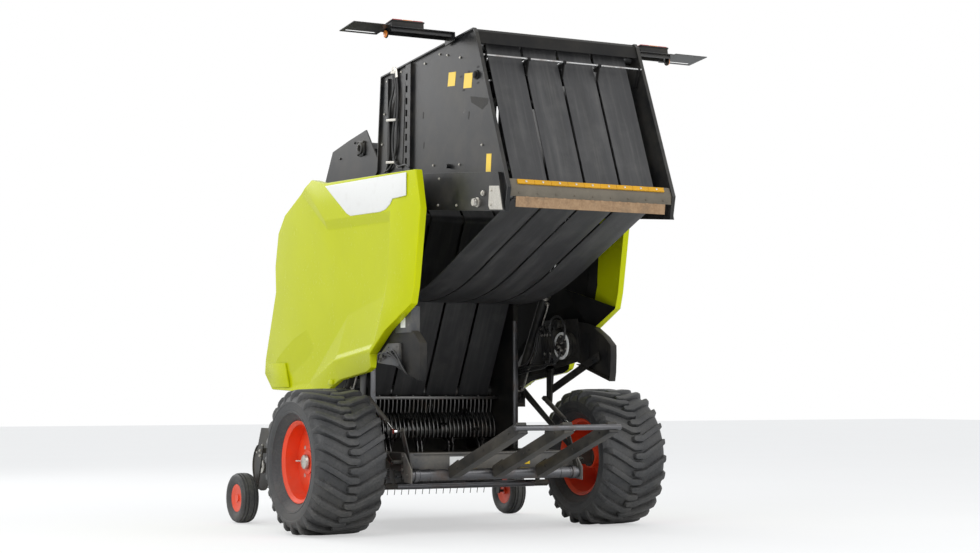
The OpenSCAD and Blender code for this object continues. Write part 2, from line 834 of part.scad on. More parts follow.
// A closed skin through rings that follow each other round a tyre's section
module ring_skin(rings) {
    m = len(rings);
    polyhedron(points = [for (r = rings) each r],
        faces = [for (i = [0:m - 1]) let (j = (i + 1) % m)
            each bands(first(rings, i), len(rings[i]), first(rings, j), len(rings[j]))]);
}

// One half of a main tyre's rings, from the bead to the row of lugs
function tyre_half(side, row) =
    let (n = 4 * lug_count, w = tyre_w / 2, bead_r = (well_r + seat) / cos(180 / n))
    [ring(tread_r - carcass_t - 60, side * (w - carcass_t), lug_count, lug_lean),
    ring(bead_r, side * bead_in, n, lug_lean), ring(bead_r, side * bead_out, n, lug_lean),
    ring(wide_r, side * w, n, lug_lean), ring(tyre_r - 55, side * (w - 14), n, lug_lean),
    lug_ring(tread_r - 10, tyre_r - 6, side * (w - 45), row, lug_lean),
    lug_ring(tread_r, tyre_r, side * 14, row, 0)];

module tyre() {
    outer = tyre_half(1, 0);
    inner = tyre_half(-1, 1);
    ring_skin(concat([ring(tread_r - carcass_t, 0, lug_count, lug_lean)], outer,
        [ring(tread_r, 0, 4 * lug_count)], [for (i = [6:-1:0]) inner[i]]));
}

module rim() {
    w = rim_w / 2;
    skin_r = well_r - 10;
    rotate_extrude($fn = 96) polygon([[rim_r, w], [rim_r, w - 12], [well_r, w - 15], [well_r, 15 - w],
        [rim_r, 12 - w], [rim_r, -w], [rim_r - 7, -w], [skin_r, 19 - w], [skin_r, 80], [hub_r - 4, 110],
        [hub_r - 4, 122], [skin_r, 94], [skin_r, w - 19], [rim_r - 7, w]]);
    difference() {
        translate([0, 0, -hub_in]) cylinder(r = hub_r, h = hub_in + hub_out + 30);
        translate([0, 0, -hub_in - 1]) cylinder(r = stub_d / 2 + fit, h = hub_in + hub_out);
    }
}

module tyre_left() {
    placed() color("#2a2b2c") wheel_at(wheel_y) tyre();
}

module tyre_right() {
    placed() color("#2a2b2c") wheel_at(-wheel_y) mirror([0, 0, 1]) tyre();
}

module rim_left() {
    placed() color("#e8401a") wheel_at(wheel_y) rim();
}

module rim_right() {
    placed() color("#e8401a") wheel_at(-wheel_y) mirror([0, 0, 1]) rim();
}

module gauge_tyre() {
    n = 20;
    w = gauge_w / 2;
    bore = (gauge_rim_r + seat) / cos(180 / n);
    translate([gauge_at[0], gauge_at[1], gauge_r]) rotate([-90, 0, 0])
        ring_skin([ring(bore, w - 25, n), ring(gauge_r - 35, w - 3, n), ring(gauge_r, w / 2, n),
            ring(gauge_r, -w / 2, n), ring(gauge_r - 35, 3 - w, n), ring(bore, 25 - w, n)]);
}

module gauge_rim() {
    r = gauge_rim_r;
    w = gauge_w / 2 - 25;
    translate([gauge_at[0], gauge_at[1], gauge_r]) rotate([-90, 0, 0]) {
        rotate_extrude() polygon([[30, 10 - w], [60, 10 - w], [r - 10, -w], [r, -w], [r, w], [r - 10, w],
            [60, w - 10], [30, w - 10]]);
        difference() {
            translate([0, 0, -60]) cylinder(r = 31, h = 110);
            translate([0, 0, -61]) cylinder(r = 12 + fit, h = 100);
        }
    }
}

module gauge_tyre_left() {
    placed() color("#2a2b2c") gauge_tyre();
}

module gauge_tyre_right() {
    placed() color("#2a2b2c") mirror([0, 1, 0]) gauge_tyre();
}

module gauge_rim_left() {
    placed() color("#e8401a") gauge_rim();
}

module gauge_rim_right() {
    placed() color("#e8401a") mirror([0, 1, 0]) gauge_rim();
}

main_frame();
axle_beam();
side_wall_left();
side_wall_right();
top_frame();
front_cover();
drawbar();
towing_eye();
jack_tube();
gearbox();
drive_shaft();
front_rollers();
tension_arms();
front_belts();
feed_comb();
feed_floor();
rear_beam();
hydraulic_unit();
side_boxes();
mudguards();
belt_span();
hood_left();
hood_right();
gate_sheet_left();
gate_sheet_right();
gate_cross();
gate_lip_plate();
lip_bar();
gate_rollers();
gate_belts();
light_boards();
rear_lamps();
barrel_left();
barrel_right();
rod_left();
rod_right();
ramp();
strut_barrel();
strut_rod();
pickup_frame();
stripper_bands();
pickup_reel();
crop_roller();
rotor();
tyre_left();
tyre_right();
rim_left();
rim_right();
gauge_tyre_left();
gauge_tyre_right();
gauge_rim_left();
gauge_rim_right();
jack_leg();
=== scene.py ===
"""Dresses a towed round baler, parked with its tailgate up, over the frame that the CAD pack gives."""
import bpy
import json
import math
from mathutils import Matrix, Vector

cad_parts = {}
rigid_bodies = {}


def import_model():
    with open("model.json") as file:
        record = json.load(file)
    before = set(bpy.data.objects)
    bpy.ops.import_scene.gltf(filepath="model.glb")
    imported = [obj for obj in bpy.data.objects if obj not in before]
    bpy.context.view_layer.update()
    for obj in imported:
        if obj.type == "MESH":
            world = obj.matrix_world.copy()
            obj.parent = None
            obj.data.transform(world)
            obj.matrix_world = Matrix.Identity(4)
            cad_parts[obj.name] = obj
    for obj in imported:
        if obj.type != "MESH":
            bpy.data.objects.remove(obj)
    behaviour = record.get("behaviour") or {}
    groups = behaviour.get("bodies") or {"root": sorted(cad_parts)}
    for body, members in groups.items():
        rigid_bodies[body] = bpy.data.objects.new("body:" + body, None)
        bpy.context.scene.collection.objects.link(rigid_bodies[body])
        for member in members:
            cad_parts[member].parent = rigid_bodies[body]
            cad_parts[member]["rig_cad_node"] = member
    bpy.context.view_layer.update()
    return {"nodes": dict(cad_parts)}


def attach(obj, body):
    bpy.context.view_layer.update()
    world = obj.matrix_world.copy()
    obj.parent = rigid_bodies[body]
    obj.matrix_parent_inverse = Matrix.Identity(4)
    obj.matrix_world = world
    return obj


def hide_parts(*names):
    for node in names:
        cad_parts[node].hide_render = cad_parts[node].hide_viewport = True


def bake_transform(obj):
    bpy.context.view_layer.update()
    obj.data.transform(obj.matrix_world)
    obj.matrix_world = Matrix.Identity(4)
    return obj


bl_info = {
    "name": "Round Baler Dressing",
    "version": (1, 0, 0),
    "blender": (4, 5, 0),
    "location": "View3D > Sidebar > Baler",
    "description": "Adds the worn finishes and the fine parts to a round baler's CAD frame",
    "category": "Add Mesh",
}

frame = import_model()
NODES = frame["nodes"]

# The drawings measure from the axle, and the frame's origin lies this far ahead of it
MID_X = 0.950241
AXLE_Z = 0.5375
WALL_OUT = 0.625
SHEET_OUT = 0.67
BAND_OUT = 0.698
BELT_PITCH = 0.295
BELT_HALF = 0.1365
BELT_THICK = 0.0074
PIVOT = (0.2, 2.62)
GATE_OPEN = math.radians(85)


class BalerColours(bpy.types.PropertyGroup):
    """Paints and rubbers of the baler."""
    lime: bpy.props.FloatVectorProperty(
        name="Hood lime", description="Paint of the two side hoods", subtype="COLOR", size=3, min=0, max=1,
        default=(0.505, 0.55, 0.001))
    dark: bpy.props.FloatVectorProperty(
        name="Sheet black", description="Paint of the walls and the tailgate's sheets", subtype="COLOR",
        size=3, min=0, max=1, default=(0.009, 0.0095, 0.0105))
    frame: bpy.props.FloatVectorProperty(
        name="Frame black", description="Paint of the frame, the drawbar and the ramp", subtype="COLOR",
        size=3, min=0, max=1, default=(0.011, 0.0115, 0.0125))
    orange: bpy.props.FloatVectorProperty(
        name="Rim orange", description="Paint of the wheel rims", subtype="COLOR", size=3, min=0, max=1,
        default=(0.86, 0.055, 0.008))
    amber: bpy.props.FloatVectorProperty(
        name="Bar amber", description="Paint of the bar on the tailgate's lip", subtype="COLOR", size=3,
        min=0, max=1, default=(0.60, 0.30, 0.004))
    plate: bpy.props.FloatVectorProperty(
        name="Pale plates", description="The blank fields on the hoods and the pale plates", subtype="COLOR",
        size=3, min=0, max=1, default=(0.74, 0.74, 0.72))
    belt: bpy.props.FloatVectorProperty(
        name="Belt rubber", description="Darker tone of the belts", subtype="COLOR", size=3, min=0, max=1,
        default=(0.0195, 0.0195, 0.0205))
    tyre: bpy.props.FloatVectorProperty(
        name="Tyre rubber", description="Darker tone of the tyres", subtype="COLOR", size=3, min=0, max=1,
        default=(0.020, 0.0205, 0.0215))
    dust: bpy.props.FloatVectorProperty(
        name="Field dust", description="Dust that lies on every finish", subtype="COLOR", size=3, min=0,
        max=1, default=(0.33, 0.29, 0.22))


class BalerSizes(bpy.types.PropertyGroup):
    """Sizes of the fine parts that the solids leave to this file."""
    lug_count: bpy.props.IntProperty(
        name="Lugs in a row", description="Tread bars in each of a main tyre's two rows", default=24, min=20,
        max=26)
    lug_height: bpy.props.FloatProperty(
        name="Lug height", description="Height of a tread bar above the carcass", unit="LENGTH",
        default=0.032, min=0.02, max=0.036, precision=4)
    hood_skin: bpy.props.FloatProperty(
        name="Hood skin", description="Thickness of a side hood's shell", unit="LENGTH", default=0.005,
        min=0.003, max=0.008, precision=4)
    hood_bevel: bpy.props.FloatProperty(
        name="Hood edge", description="Radius of a side hood's pressed edges", unit="LENGTH", default=0.008,
        min=0.003, max=0.012, precision=4)
    hose_radius: bpy.props.FloatProperty(
        name="Hose radius", description="Radius of the hoses on the tailgate and the oil unit", unit="LENGTH",
        default=0.0085, min=0.006, max=0.011, precision=4)
    tine_radius: bpy.props.FloatProperty(
        name="Tine radius", description="Radius of the pick-up's spring tines", unit="LENGTH", default=0.0032,
        min=0.002, max=0.005, precision=4)
    bar_lengths: bpy.props.IntProperty(
        name="Bar lengths", description="Lengths that the amber bar is cut into", default=9, min=3, max=15)
    key_power: bpy.props.FloatProperty(
        name="Key light", description="Power of the studio's main panel", unit="POWER", default=520, min=100,
        max=1500)


def colours():
    return bpy.context.scene.baler_colours


def sizes():
    return bpy.context.scene.baler_sizes


def spot(x, y, z):
    """A place given from the axle, in the frame."""
    return Vector((x - MID_X, y, z))


def opened(x, z):
    """Where a point of the closed tailgate lies with the gate up, as x and z from the axle."""
    dx, dz = x - PIVOT[0], z - PIVOT[1]
    c, s = math.cos(GATE_OPEN), math.sin(GATE_OPEN)
    return PIVOT[0] + dx * c + dz * s, PIVOT[1] - dx * s + dz * c


# Finishes

class Value:
    """A socket of a finish, so that maths on it reads as plain Python."""

    def __init__(self, finish, socket):
        self.finish, self.socket = finish, socket

    def __add__(self, other):
        return self.finish.maths("ADD", self, other)

    def __sub__(self, other):
        return self.finish.maths("SUBTRACT", self, other)

    def __rsub__(self, other):
        return self.finish.maths("SUBTRACT", other, self)

    def __mul__(self, other):
        return self.finish.maths("MULTIPLY", self, other)

    def __truediv__(self, other):
        return self.finish.maths("DIVIDE", self, other)

    def __pow__(self, other):
        return self.finish.maths("POWER", self, other)

    def __abs__(self):
        return self.finish.maths("ABSOLUTE", self)

    __radd__, __rmul__ = __add__, __mul__

    def sine(self):
        return self.finish.maths("SINE", self)

    def fraction(self):
        return self.finish.maths("FRACT", self)

    def larger(self, other):
        return self.finish.maths("MAXIMUM", self, other)

    def clamp(self):
        return self.finish.node("ShaderNodeClamp", {}, {0: self})

    def between(self, low, high):
        """0 at low and 1 at high, held at both ends."""
        return ((self - low) / (high - low)).clamp()


class Finish:
    """A material being built on a Principled shader, with the places that its patterns read."""

    def __init__(self, name):
        self.material = bpy.data.materials.new(name)
        self.material.use_nodes = True
        self.tree = self.material.node_tree
        self.shader = self.tree.nodes["Principled BSDF"]
        self.place = self.node("ShaderNodeTexCoord", output="Object")
        self.x, self.y, self.z = (self.part(self.place, axis) for axis in "XYZ")
        normal = self.node("ShaderNodeNewGeometry", output="Normal")
        self.upward = self.part(normal, "Z").clamp()

    def node(self, kind, settings=(), inputs=(), output=0):
        made = self.tree.nodes.new(kind)
        for name, value in dict(settings).items():
            setattr(made, name, value)
        for key, value in dict(inputs).items():
            self.feed(made.inputs[key], value)
        return Value(self, made.outputs[output])

    def feed(self, socket, value):
        if isinstance(value, Value):
            self.tree.links.new(value.socket, socket)
        elif socket.type == "RGBA" and len(value) == 3:
            socket.default_value = (*value, 1)
        else:
            socket.default_value = value

    def part(self, vector, axis):
        return self.node("ShaderNodeSeparateXYZ", {}, {0: vector}, axis)

    def maths(self, operation, *values):
        return self.node("ShaderNodeMath", {"operation": operation}, dict(enumerate(values)))

    def stretched(self, x, y, z):
        """The object's places, scaled along each axis."""
        return self.node("ShaderNodeVectorMath", {"operation": "MULTIPLY"}, {0: self.place, 1: (x, y, z)})

    def noise(self, scale, detail=4.0, rough=0.55, place=None, output=0):
        return self.node("ShaderNodeTexNoise", {}, {
            "Vector": place or self.place, "Scale": scale, "Detail": detail, "Roughness": rough}, output)

    def cells(self, scale, place=None, feature="F1"):
        return self.node("ShaderNodeTexVoronoi", {"feature": feature}, {
            "Vector": place or self.place, "Scale": scale})

    def mix(self, factor, a, b):
        return self.node("ShaderNodeMix", {"data_type": "RGBA"}, {0: factor, 6: a, 7: b}, 2)

    def bump(self, height, strength=0.3, distance=0.002, under=None):
        extra = {"Normal": under} if under else {}
        return self.node("ShaderNodeBump", {}, {
            "Strength": strength, "Distance": distance, "Height": height, **extra})

    def set(self, **values):
        names = {"colour": "Base Color", "rough": "Roughness", "metal": "Metallic", "normal": "Normal",
                 "coat": "Coat Weight", "coat_rough": "Coat Roughness", "glow": "Emission Color",
                 "glow_strength": "Emission Strength", "specular": "Specular IOR Level"}
        for key, value in values.items():
            self.feed(self.shader.inputs[names[key]], value)
        return self.material


_made = {}


def finish(name):
    """The material of that name, built the first time that it is asked for."""
    if name not in _made:
        _made[name] = RECIPES[name](name)
    return _made[name]


def painted(name, colour, rough=0.3, dust=0.35, chips=0.0, specular=0.5, metal_under=(0.2, 0.19, 0.18),
            waves=1.0):
    """Sprayed paint with slight waves, a film of dust on what faces up and low down, and chips."""
    f = Finish(name)
    colour = tuple(colour)
    tone = f.noise(3.1, 3)
    deep = tuple(c * (1 - 0.18 * waves) for c in colour)
    base = f.mix(tone.between(0.35, 0.65), deep, colour)
    grain = f.noise(38, 6, 0.7)
    drift = f.noise(4.3, 5, 0.6)
    low = 1 - f.z.between(0.3, 1.5)
    film = (drift - 0.42 + f.upward * 0.22 + low * 0.16 + (grain - 0.5) * 0.35).between(0, 0.5) * dust
    base = f.mix(film, base, tuple(colours().dust))
    if chips:
        flake = f.cells(70).between(0.0, 0.6)
        bare = (f.noise(11, 8, 0.75).between(0.69 - chips * 0.06, 0.72) * flake).clamp()
        base = f.mix(bare, base, metal_under)
    ripple = f.noise(260, 2)
    return f.set(colour=base, rough=(film * 0.9 + grain * 0.12 + rough - 0.05).clamp(),
                 specular=specular, normal=f.bump(ripple + drift * (3 * waves), 0.12, 0.0008))


def bare_steel(name, colour=(0.36, 0.355, 0.35), rough=0.34):
    """Steel that the crop has polished, with fine scratches and brown stains."""
    f = Finish(name)
    scratch = f.noise(55, 6, 0.7, f.stretched(1, 9, 1))
    stain = f.noise(7, 6, 0.65)
    base = f.mix(scratch.between(0.3, 0.7), tuple(c * 0.6 for c in colour), colour)
    brown = stain.between(0.52, 0.7) * 0.55
    base = f.mix(brown, base, (0.12, 0.075, 0.045))
    return f.set(colour=base, metal=(1 - brown * 0.8).clamp(),
                 rough=(scratch * 0.22 + brown * 0.5 + rough - 0.1).clamp(),
                 normal=f.bump(scratch, 0.2, 0.0006))


def chrome(name):
    """Chromed rod with a light haze."""
    f = Finish(name)
    haze = f.noise(30, 5, 0.6, f.stretched(1, 1, 0.12))
    base = f.mix(haze.between(0.4, 0.75), (0.78, 0.79, 0.8), (0.55, 0.55, 0.54))
    return f.set(colour=base, metal=1.0, rough=(haze * 0.2 + 0.03).clamp())


def belt_rubber(name):
    """Woven rubber belting: fine cross ribs, dusty streaks along the belt and paler worn bands."""
    f = Finish(name)
    streak = f.noise(34, 5, 0.65, f.stretched(0.05, 1, 0.05))
    band = f.noise(9, 4, 0.6, f.stretched(0.12, 1, 0.12))
    cloud = f.noise(5, 5, 0.6)
    tone = tuple(colours().belt)
    base = f.mix(band.between(0.3, 0.7), tone, tuple(c * 1.6 for c in tone))
    pale = (streak.between(0.5, 0.85) * 0.22 + cloud.between(0.5, 0.85) * 0.16
            + band.between(0.5, 0.8) * 0.12).clamp()
    base = f.mix(pale, base, (0.18, 0.174, 0.16))
    ribs = ((f.x + f.z) * 900).sine() * 0.5 + (f.y * 1100).sine() * 0.5
    return f.set(colour=base, rough=(pale * 0.25 + streak * 0.2 + 0.42).clamp(),
                 normal=f.bump(ribs + cloud * 2, 0.25, 0.0006), specular=0.45)


def tyre_rubber(name):
    """Tyre rubber with fine moulding marks and field dust in its low places."""
    f = Finish(name)
    grain = f.noise(60, 6, 0.7)
    cloud = f.noise(6, 5, 0.6)
    low = 1 - f.z.between(0.0, 0.5)
    film = ((cloud - 0.45) + (grain - 0.5) * 0.5 + low * 0.25 + f.upward * 0.1).between(0, 0.6) * 0.32
    tone = tuple(colours().tyre)
    base = f.mix(grain.between(0.3, 0.7), tone, tuple(c * 2 for c in tone))
    base = f.mix(film, base, (0.20, 0.185, 0.16))
    return f.set(colour=base, rough=(film * 0.35 + grain * 0.15 + 0.45).clamp(),
                 normal=f.bump(grain * 2 + f.noise(420, 2), 0.25, 0.0008))


def black_plastic(name):
    """Grained black plastic with a film of dust on what faces up."""
    f = Finish(name)
    grain = f.noise(520, 2)
    cloud = f.noise(5, 5)
    film = (cloud - 0.4 + f.upward * 0.3).between(0, 0.6) * 0.14
    base = f.mix(film, (0.009, 0.009, 0.0095), tuple(colours().dust))
    return f.set(colour=base, rough=(film * 0.6 + cloud * 0.15 + 0.42).clamp(),
                 normal=f.bump(grain, 0.3, 0.0004), specular=0.22)


def lens(name, colour):
    """Moulded lamp glass with fine ribs behind a smooth face."""
    f = Finish(name)
    ribs = (f.z * 1400).sine() * 0.5 + (f.y * 1400).sine() * 0.5
    cloud = f.noise(9, 4)
    base = f.mix(ribs.between(-1, 1), tuple(c * 0.6 for c in colour), colour)
    base = f.mix(cloud.between(0.55, 0.8) * 0.3, base, tuple(colours().dust))
    return f.set(colour=base, rough=(cloud * 0.15 + 0.14).clamp(), coat=0.6, coat_rough=0.06,
                 normal=f.bump(ribs, 0.35, 0.0006))


def plate(name, colour):
    """A smooth blank plate, lightly soiled."""
    f = Finish(name)
    cloud = f.noise(14, 5, 0.65)
    base = f.mix(cloud.between(0.55, 0.85) * 0.16, colour, tuple(colours().dust))
    return f.set(colour=base, rough=(cloud * 0.2 + 0.26).clamp(), normal=f.bump(cloud, 0.06, 0.0005))


def tan_plate(name):
    """A belt guard worn to primer and caked with dry chaff."""
    f = Finish(name)
    grain = f.noise(30, 8, 0.75)
    cloud = f.noise(6, 6, 0.6)
    base = f.mix(grain.between(0.35, 0.65), (0.22, 0.13, 0.065), (0.34, 0.22, 0.12))
    base = f.mix(cloud.between(0.52, 0.75) * 0.8, base, (0.12, 0.085, 0.055))
    return f.set(colour=base, rough=(grain * 0.2 + 0.6).clamp(), normal=f.bump(grain + cloud, 0.5, 0.002))


def hose_rubber(name):
    """Dull rubber of the hoses and cables."""
    f = Finish(name)
    grain = f.noise(180, 4, 0.7)
    return f.set(colour=f.mix(grain, (0.012, 0.012, 0.013), (0.04, 0.039, 0.037)),
                 rough=(grain * 0.25 + 0.35).clamp(), normal=f.bump(grain, 0.25, 0.0005))


def zinc(name):
    """Zinc plating gone dull."""
    f = Finish(name)
    grain = f.noise(90, 5, 0.7)
    base = f.mix(grain.between(0.35, 0.7), (0.42, 0.40, 0.36), (0.62, 0.60, 0.55))
    return f.set(colour=base, metal=0.9, rough=(grain * 0.3 + 0.25).clamp(),
                 normal=f.bump(grain, 0.2, 0.0004))


RECIPES = {
    "lime_paint": lambda name: painted(name, colours().lime, rough=0.24, dust=0.03, specular=0.12, waves=0.2),
    "dark_paint": lambda name: painted(name, colours().dark, rough=0.3, dust=0.13, chips=0.3, specular=0.32),
    "frame_paint": lambda name: painted(name, colours().frame, rough=0.36, dust=0.2, chips=0.5,
                                        specular=0.32),
    "orange_paint": lambda name: painted(name, colours().orange, rough=0.3, dust=0.16, chips=0.1,
                                         specular=0.4),
    "amber_paint": lambda name: painted(name, colours().amber, rough=0.36, dust=0.05, chips=0.6,
                                        specular=0.25),
    "grey_paint": lambda name: painted(name, (0.105, 0.09, 0.068), rough=0.45, dust=0.3, chips=1.0,
                                       specular=0.3, metal_under=(0.22, 0.17, 0.12)),
    "bare_steel": bare_steel, "chrome": chrome, "belt_rubber": belt_rubber, "tyre_rubber": tyre_rubber,
    "black_plastic": black_plastic, "tan_plate": tan_plate, "hose_rubber": hose_rubber, "zinc": zinc,
    "roller_steel": lambda name: bare_steel(name, (0.2, 0.2, 0.2), 0.42),
    "comb_steel": lambda name: bare_steel(name, (0.15, 0.148, 0.145), 0.33),
    # This steel's tone is lowered to paint in the shade that the ramp's tube lies in; the knives' bolts and
    # the worn edges share it
    "tube_steel": lambda name: bare_steel(name, (0.17, 0.17, 0.178), 0.36),
    "bright_steel": lambda name: bare_steel(name, (0.42, 0.42, 0.42), 0.25),
    "band_steel": lambda name: bare_steel(name, (0.24, 0.24, 0.24), 0.4),
    # Black paint darkened further to paint in shade: the deep recess between the tailgate's sheets, and the
    # inside of the hoods
    "shade_darkened_paint": lambda name: painted(name, (0.0035, 0.0036, 0.004), rough=0.55, dust=0.05, specular=0.2),
    "beam_paint": lambda name: painted(name, (0.05, 0.052, 0.056), rough=0.42, dust=0.4, chips=0.8),
    "red_lens": lambda name: lens(name, (0.55, 0.012, 0.008)),
    "amber_lens": lambda name: lens(name, (0.9, 0.26, 0.01)),
    "white_plate": lambda name: plate(name, tuple(colours().plate)),
    "yellow_plate": lambda name: plate(name, (0.78, 0.52, 0.02)),
}
# The looks, and the solids of the part that each one is given
NODE_FINISHES = {
    "dark_paint": ["side_wall_left", "side_wall_right", "gate_sheet_left", "gate_sheet_right",
                   "gate_cross", "light_boards", "top_frame", "front_cover"],
    "frame_paint": ["main_frame", "axle_beam", "drawbar", "towing_eye", "jack_tube", "gearbox",
                    "tension_arms", "feed_floor", "rear_beam", "hydraulic_unit", "side_boxes",
                    "barrel_left", "barrel_right", "ramp", "strut_barrel", "pickup_frame",
                    "crop_roller"],
    "black_plastic": ["mudguards", "drive_shaft"],
    "belt_rubber": ["front_belts", "gate_belts", "belt_span"],
    "roller_steel": ["front_rollers", "gate_rollers"],
    "comb_steel": ["feed_comb", "rotor"],
    "bare_steel": ["pickup_reel", "stripper_bands", "jack_leg"],
    "chrome": ["rod_left", "rod_right", "strut_rod"],
    "grey_paint": ["gate_lip_plate"],
    "amber_paint": ["lip_bar"],
    "red_lens": ["rear_lamps"],
    "lime_paint": ["hood_left", "hood_right"],
    "orange_paint": ["rim_left", "rim_right", "gauge_rim_left", "gauge_rim_right"],
    "tyre_rubber": ["tyre_left", "tyre_right", "gauge_tyre_left", "gauge_tyre_right"],
}


def dress(obj, name):
    """Gives an object one finish all over."""
    obj.data.materials.clear()
    obj.data.materials.append(finish(name))
    not obj.get("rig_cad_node")
    return obj


# Modelling helpers

def idle():
    """Leaves edit mode and clears the selection, so that the next operator acts on nothing else."""
    if bpy.context.object and bpy.context.object.mode != "OBJECT":
        bpy.ops.object.mode_set(mode="OBJECT")
    bpy.ops.object.select_all(action="DESELECT")


def start(kind, name, **where):
    """Adds one mesh primitive by itself."""
    idle()
    getattr(bpy.ops.mesh, f"primitive_{kind}_add")(**where)
    obj = bpy.context.object
    obj.name = obj.data.name = name
    return obj


def take(obj):
    """Makes an object the only selected one and the active one."""
    idle()
    obj.select_set(True)
    bpy.context.view_layer.objects.active = obj
    return obj


def editing(obj):
    take(obj)
    bpy.ops.object.mode_set(mode="EDIT")
    bpy.ops.mesh.select_all(action="SELECT")


def settle(obj):
    """Puts the object's place, turn and size into its mesh."""
    take(obj)
    bpy.ops.object.transform_apply(location=True, rotation=True, scale=True)
    return obj


def modify(obj, kind, **settings):
    take(obj)
    made = obj.modifiers.new(kind.title(), kind)
    for key, value in settings.items():
        setattr(made, key, value)
    bpy.ops.object.modifier_apply(modifier=made.name)
    return obj


def round_edges(obj, width, steps=2, angle=30):
    """Rounds the edges that are sharper than an angle."""
    return modify(obj, "BEVEL", width=width, segments=steps, limit_method="ANGLE",
                  angle_limit=math.radians(angle))


def smooth(obj, angle=35):
    """Shades a piece smooth where its faces meet at less than an angle."""
    take(obj)
    bpy.ops.object.shade_smooth_by_angle(angle=math.radians(angle))
    return obj


def face_out(obj):
    """Welds a piece and turns its faces outward."""
    editing(obj)
    bpy.ops.mesh.remove_doubles(threshold=1e-5)
    bpy.ops.mesh.normals_make_consistent(inside=False)
    idle()
    return obj


def cut_plate(name, outline, y0, y1, bevel=0.0, steps=2):
    """A plate cut to an outline of x and z from the axle, between two distances from the middle."""
    obj = start("circle", name, vertices=len(outline), fill_type="NGON")
    for vert, (x, z) in zip(obj.data.vertices, outline):
        vert.co = spot(x, y0, z)
    settle(obj)
    editing(obj)
    bpy.ops.mesh.extrude_region_move(TRANSFORM_OT_translate={"value": (0, y1 - y0, 0)})
    face_out(obj)
    return round_edges(obj, bevel, steps) if bevel else obj


def block(name, x, y, z, bevel=0.003):
    """A box between two places on each axis, x from the axle, with rounded edges."""
    centre = spot((x[0] + x[1]) / 2, (y[0] + y[1]) / 2, (z[0] + z[1]) / 2)
    obj = start("cube", name, size=1, location=centre)
    obj.scale = (x[1] - x[0], y[1] - y[0], z[1] - z[0])
    settle(obj)
    return round_edges(obj, bevel) if bevel else obj


def rod_between(name, a, b, radius, sides=16, bevel=0.0):
    """A round bar from one place to another."""
    a, b = Vector(a), Vector(b)
    obj = start("cylinder", name, vertices=sides, radius=radius, depth=(b - a).length, location=(a + b) / 2)
    obj.rotation_mode = "QUATERNION"
    obj.rotation_quaternion = (b - a).to_track_quat("Z", "Y")
    settle(obj)
    return round_edges(obj, bevel) if bevel else obj


def cross_rod(name, at, y0, y1, radius, sides=16, bevel=0.0):
    """A round bar that lies across the machine, at an x and z from the axle."""
    x, z = at
    return rod_between(name, spot(x, y0, z), spot(x, y1, z), radius, sides, bevel)


def bolt(name, at, along, size):
    """A hexagon head on a washer, standing out of a surface along a direction."""
    at, along = Vector(at), Vector(along).normalized()
    washer = rod_between(name, at - along * 0.002, at + along * size * 0.18, size * 1.05, 16)
    head = rod_between(name + "_head", at, at + along * size * 0.85, size * 0.85, 6, size * 0.08)
    return join([washer, head], name)


def join(objects, name):
    """Makes several pieces one object."""
    take(objects[0])
    for obj in objects:
        obj.select_set(True)
    if len(objects) > 1:
        bpy.ops.object.join()
    objects[0].name = objects[0].data.name = name
    return objects[0]


def copy_of(obj, name, matrix):
    """A copy with its own mesh, moved by a matrix."""
    twin = bpy.data.objects.new(name, obj.data.copy())
    bpy.context.scene.collection.objects.link(twin)
    twin.data.transform(matrix)
    if matrix.determinant() < 0:
        twin.data.flip_normals()
    return twin


def mirrored(obj, name):
    """The other side's piece."""
    return copy_of(obj, name, Matrix.Scale(-1, 4, (0, 1, 0)))


def hose(name, points, radius, sides=8):
    """A bent tube through places, eased into one smooth curve."""
    idle()
    curve = bpy.data.curves.new(name, "CURVE")
    curve.dimensions = "3D"
    curve.resolution_u = 6
    curve.bevel_depth = radius
    curve.bevel_resolution = max(1, sides // 4)
    curve.use_fill_caps = True
    line = curve.splines.new("NURBS")
    line.points.add(len(points) - 1)
    for point, place in zip(line.points, points):
        point.co = (*place, 1)
    line.order_u = 4
    line.use_endpoint_u = True
    obj = bpy.data.objects.new(name, curve)
    bpy.context.scene.collection.objects.link(obj)
    take(obj)
    bpy.ops.object.convert(target="MESH")
    obj = bpy.context.object
    face_out(obj)
    return smooth(obj, 60)


def place_on(obj, name, body, *nodes):
    """Finishes a piece: its look, the body that it rides on and the nodes that it stands for."""
    dress(obj, name)
    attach(obj, body)
    if nodes:
        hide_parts(*nodes)
    return obj


def fit(parts, name, look, body, *nodes, both=False):
    """Joins the parts of a piece, with their mirror images where both sides have it, and finishes it."""
    whole = join(parts, name)
    return place_on(smooth(with_twin(whole) if both else whole, 40), look, body, *nodes)


def spun(name, profile, centre, steps=96):
    """A ring turned about a cross line, from a closed section of (radius, distance from the middle)."""
    x, z = centre
    obj = start("circle", name, vertices=len(profile), fill_type="NOTHING")
    for vert, (radius, y) in zip(obj.data.vertices, profile):
        vert.co = spot(x, y, z + radius)
    settle(obj)
    editing(obj)
    bpy.ops.mesh.spin(steps=steps, angle=math.tau, center=spot(x, 0, z), axis=(0, 1, 0))
    face_out(obj)
    return smooth(obj)


def arc(centre, radius, a0, a1, count):
    """Points of x and z round a centre, with angles in degrees from +X towards +Z."""
    return [(centre[0] + radius * math.cos(math.radians(a)), centre[1] + radius * math.sin(math.radians(a)))
            for a in (a0 + (a1 - a0) * i / count for i in range(count + 1))]


def repeated(obj, name, offsets):
    """The piece at each of some offsets, joined; the first one is moved too."""
    copies = [copy_of(obj, name, Matrix.Translation(Vector(o))) for o in offsets]
    bpy.data.objects.remove(obj)
    return join(copies, name)


def turned_gate(obj):
    """Takes a piece drawn on the closed tailgate to where the open one has it."""
    centre = spot(PIVOT[0], 0, PIVOT[1])
    turn = Matrix.Translation(centre) @ Matrix.Rotation(GATE_OPEN, 4, "Y") @ Matrix.Translation(-centre)
    obj.data.transform(turn)
    return obj


# Wheels

TYRE_R = 0.5375
WHEEL_Y = 1.215
GAUGE_AT = (1.545, 0.2)
GAUGE_Y = 1.235
NUT_RING = 0.145
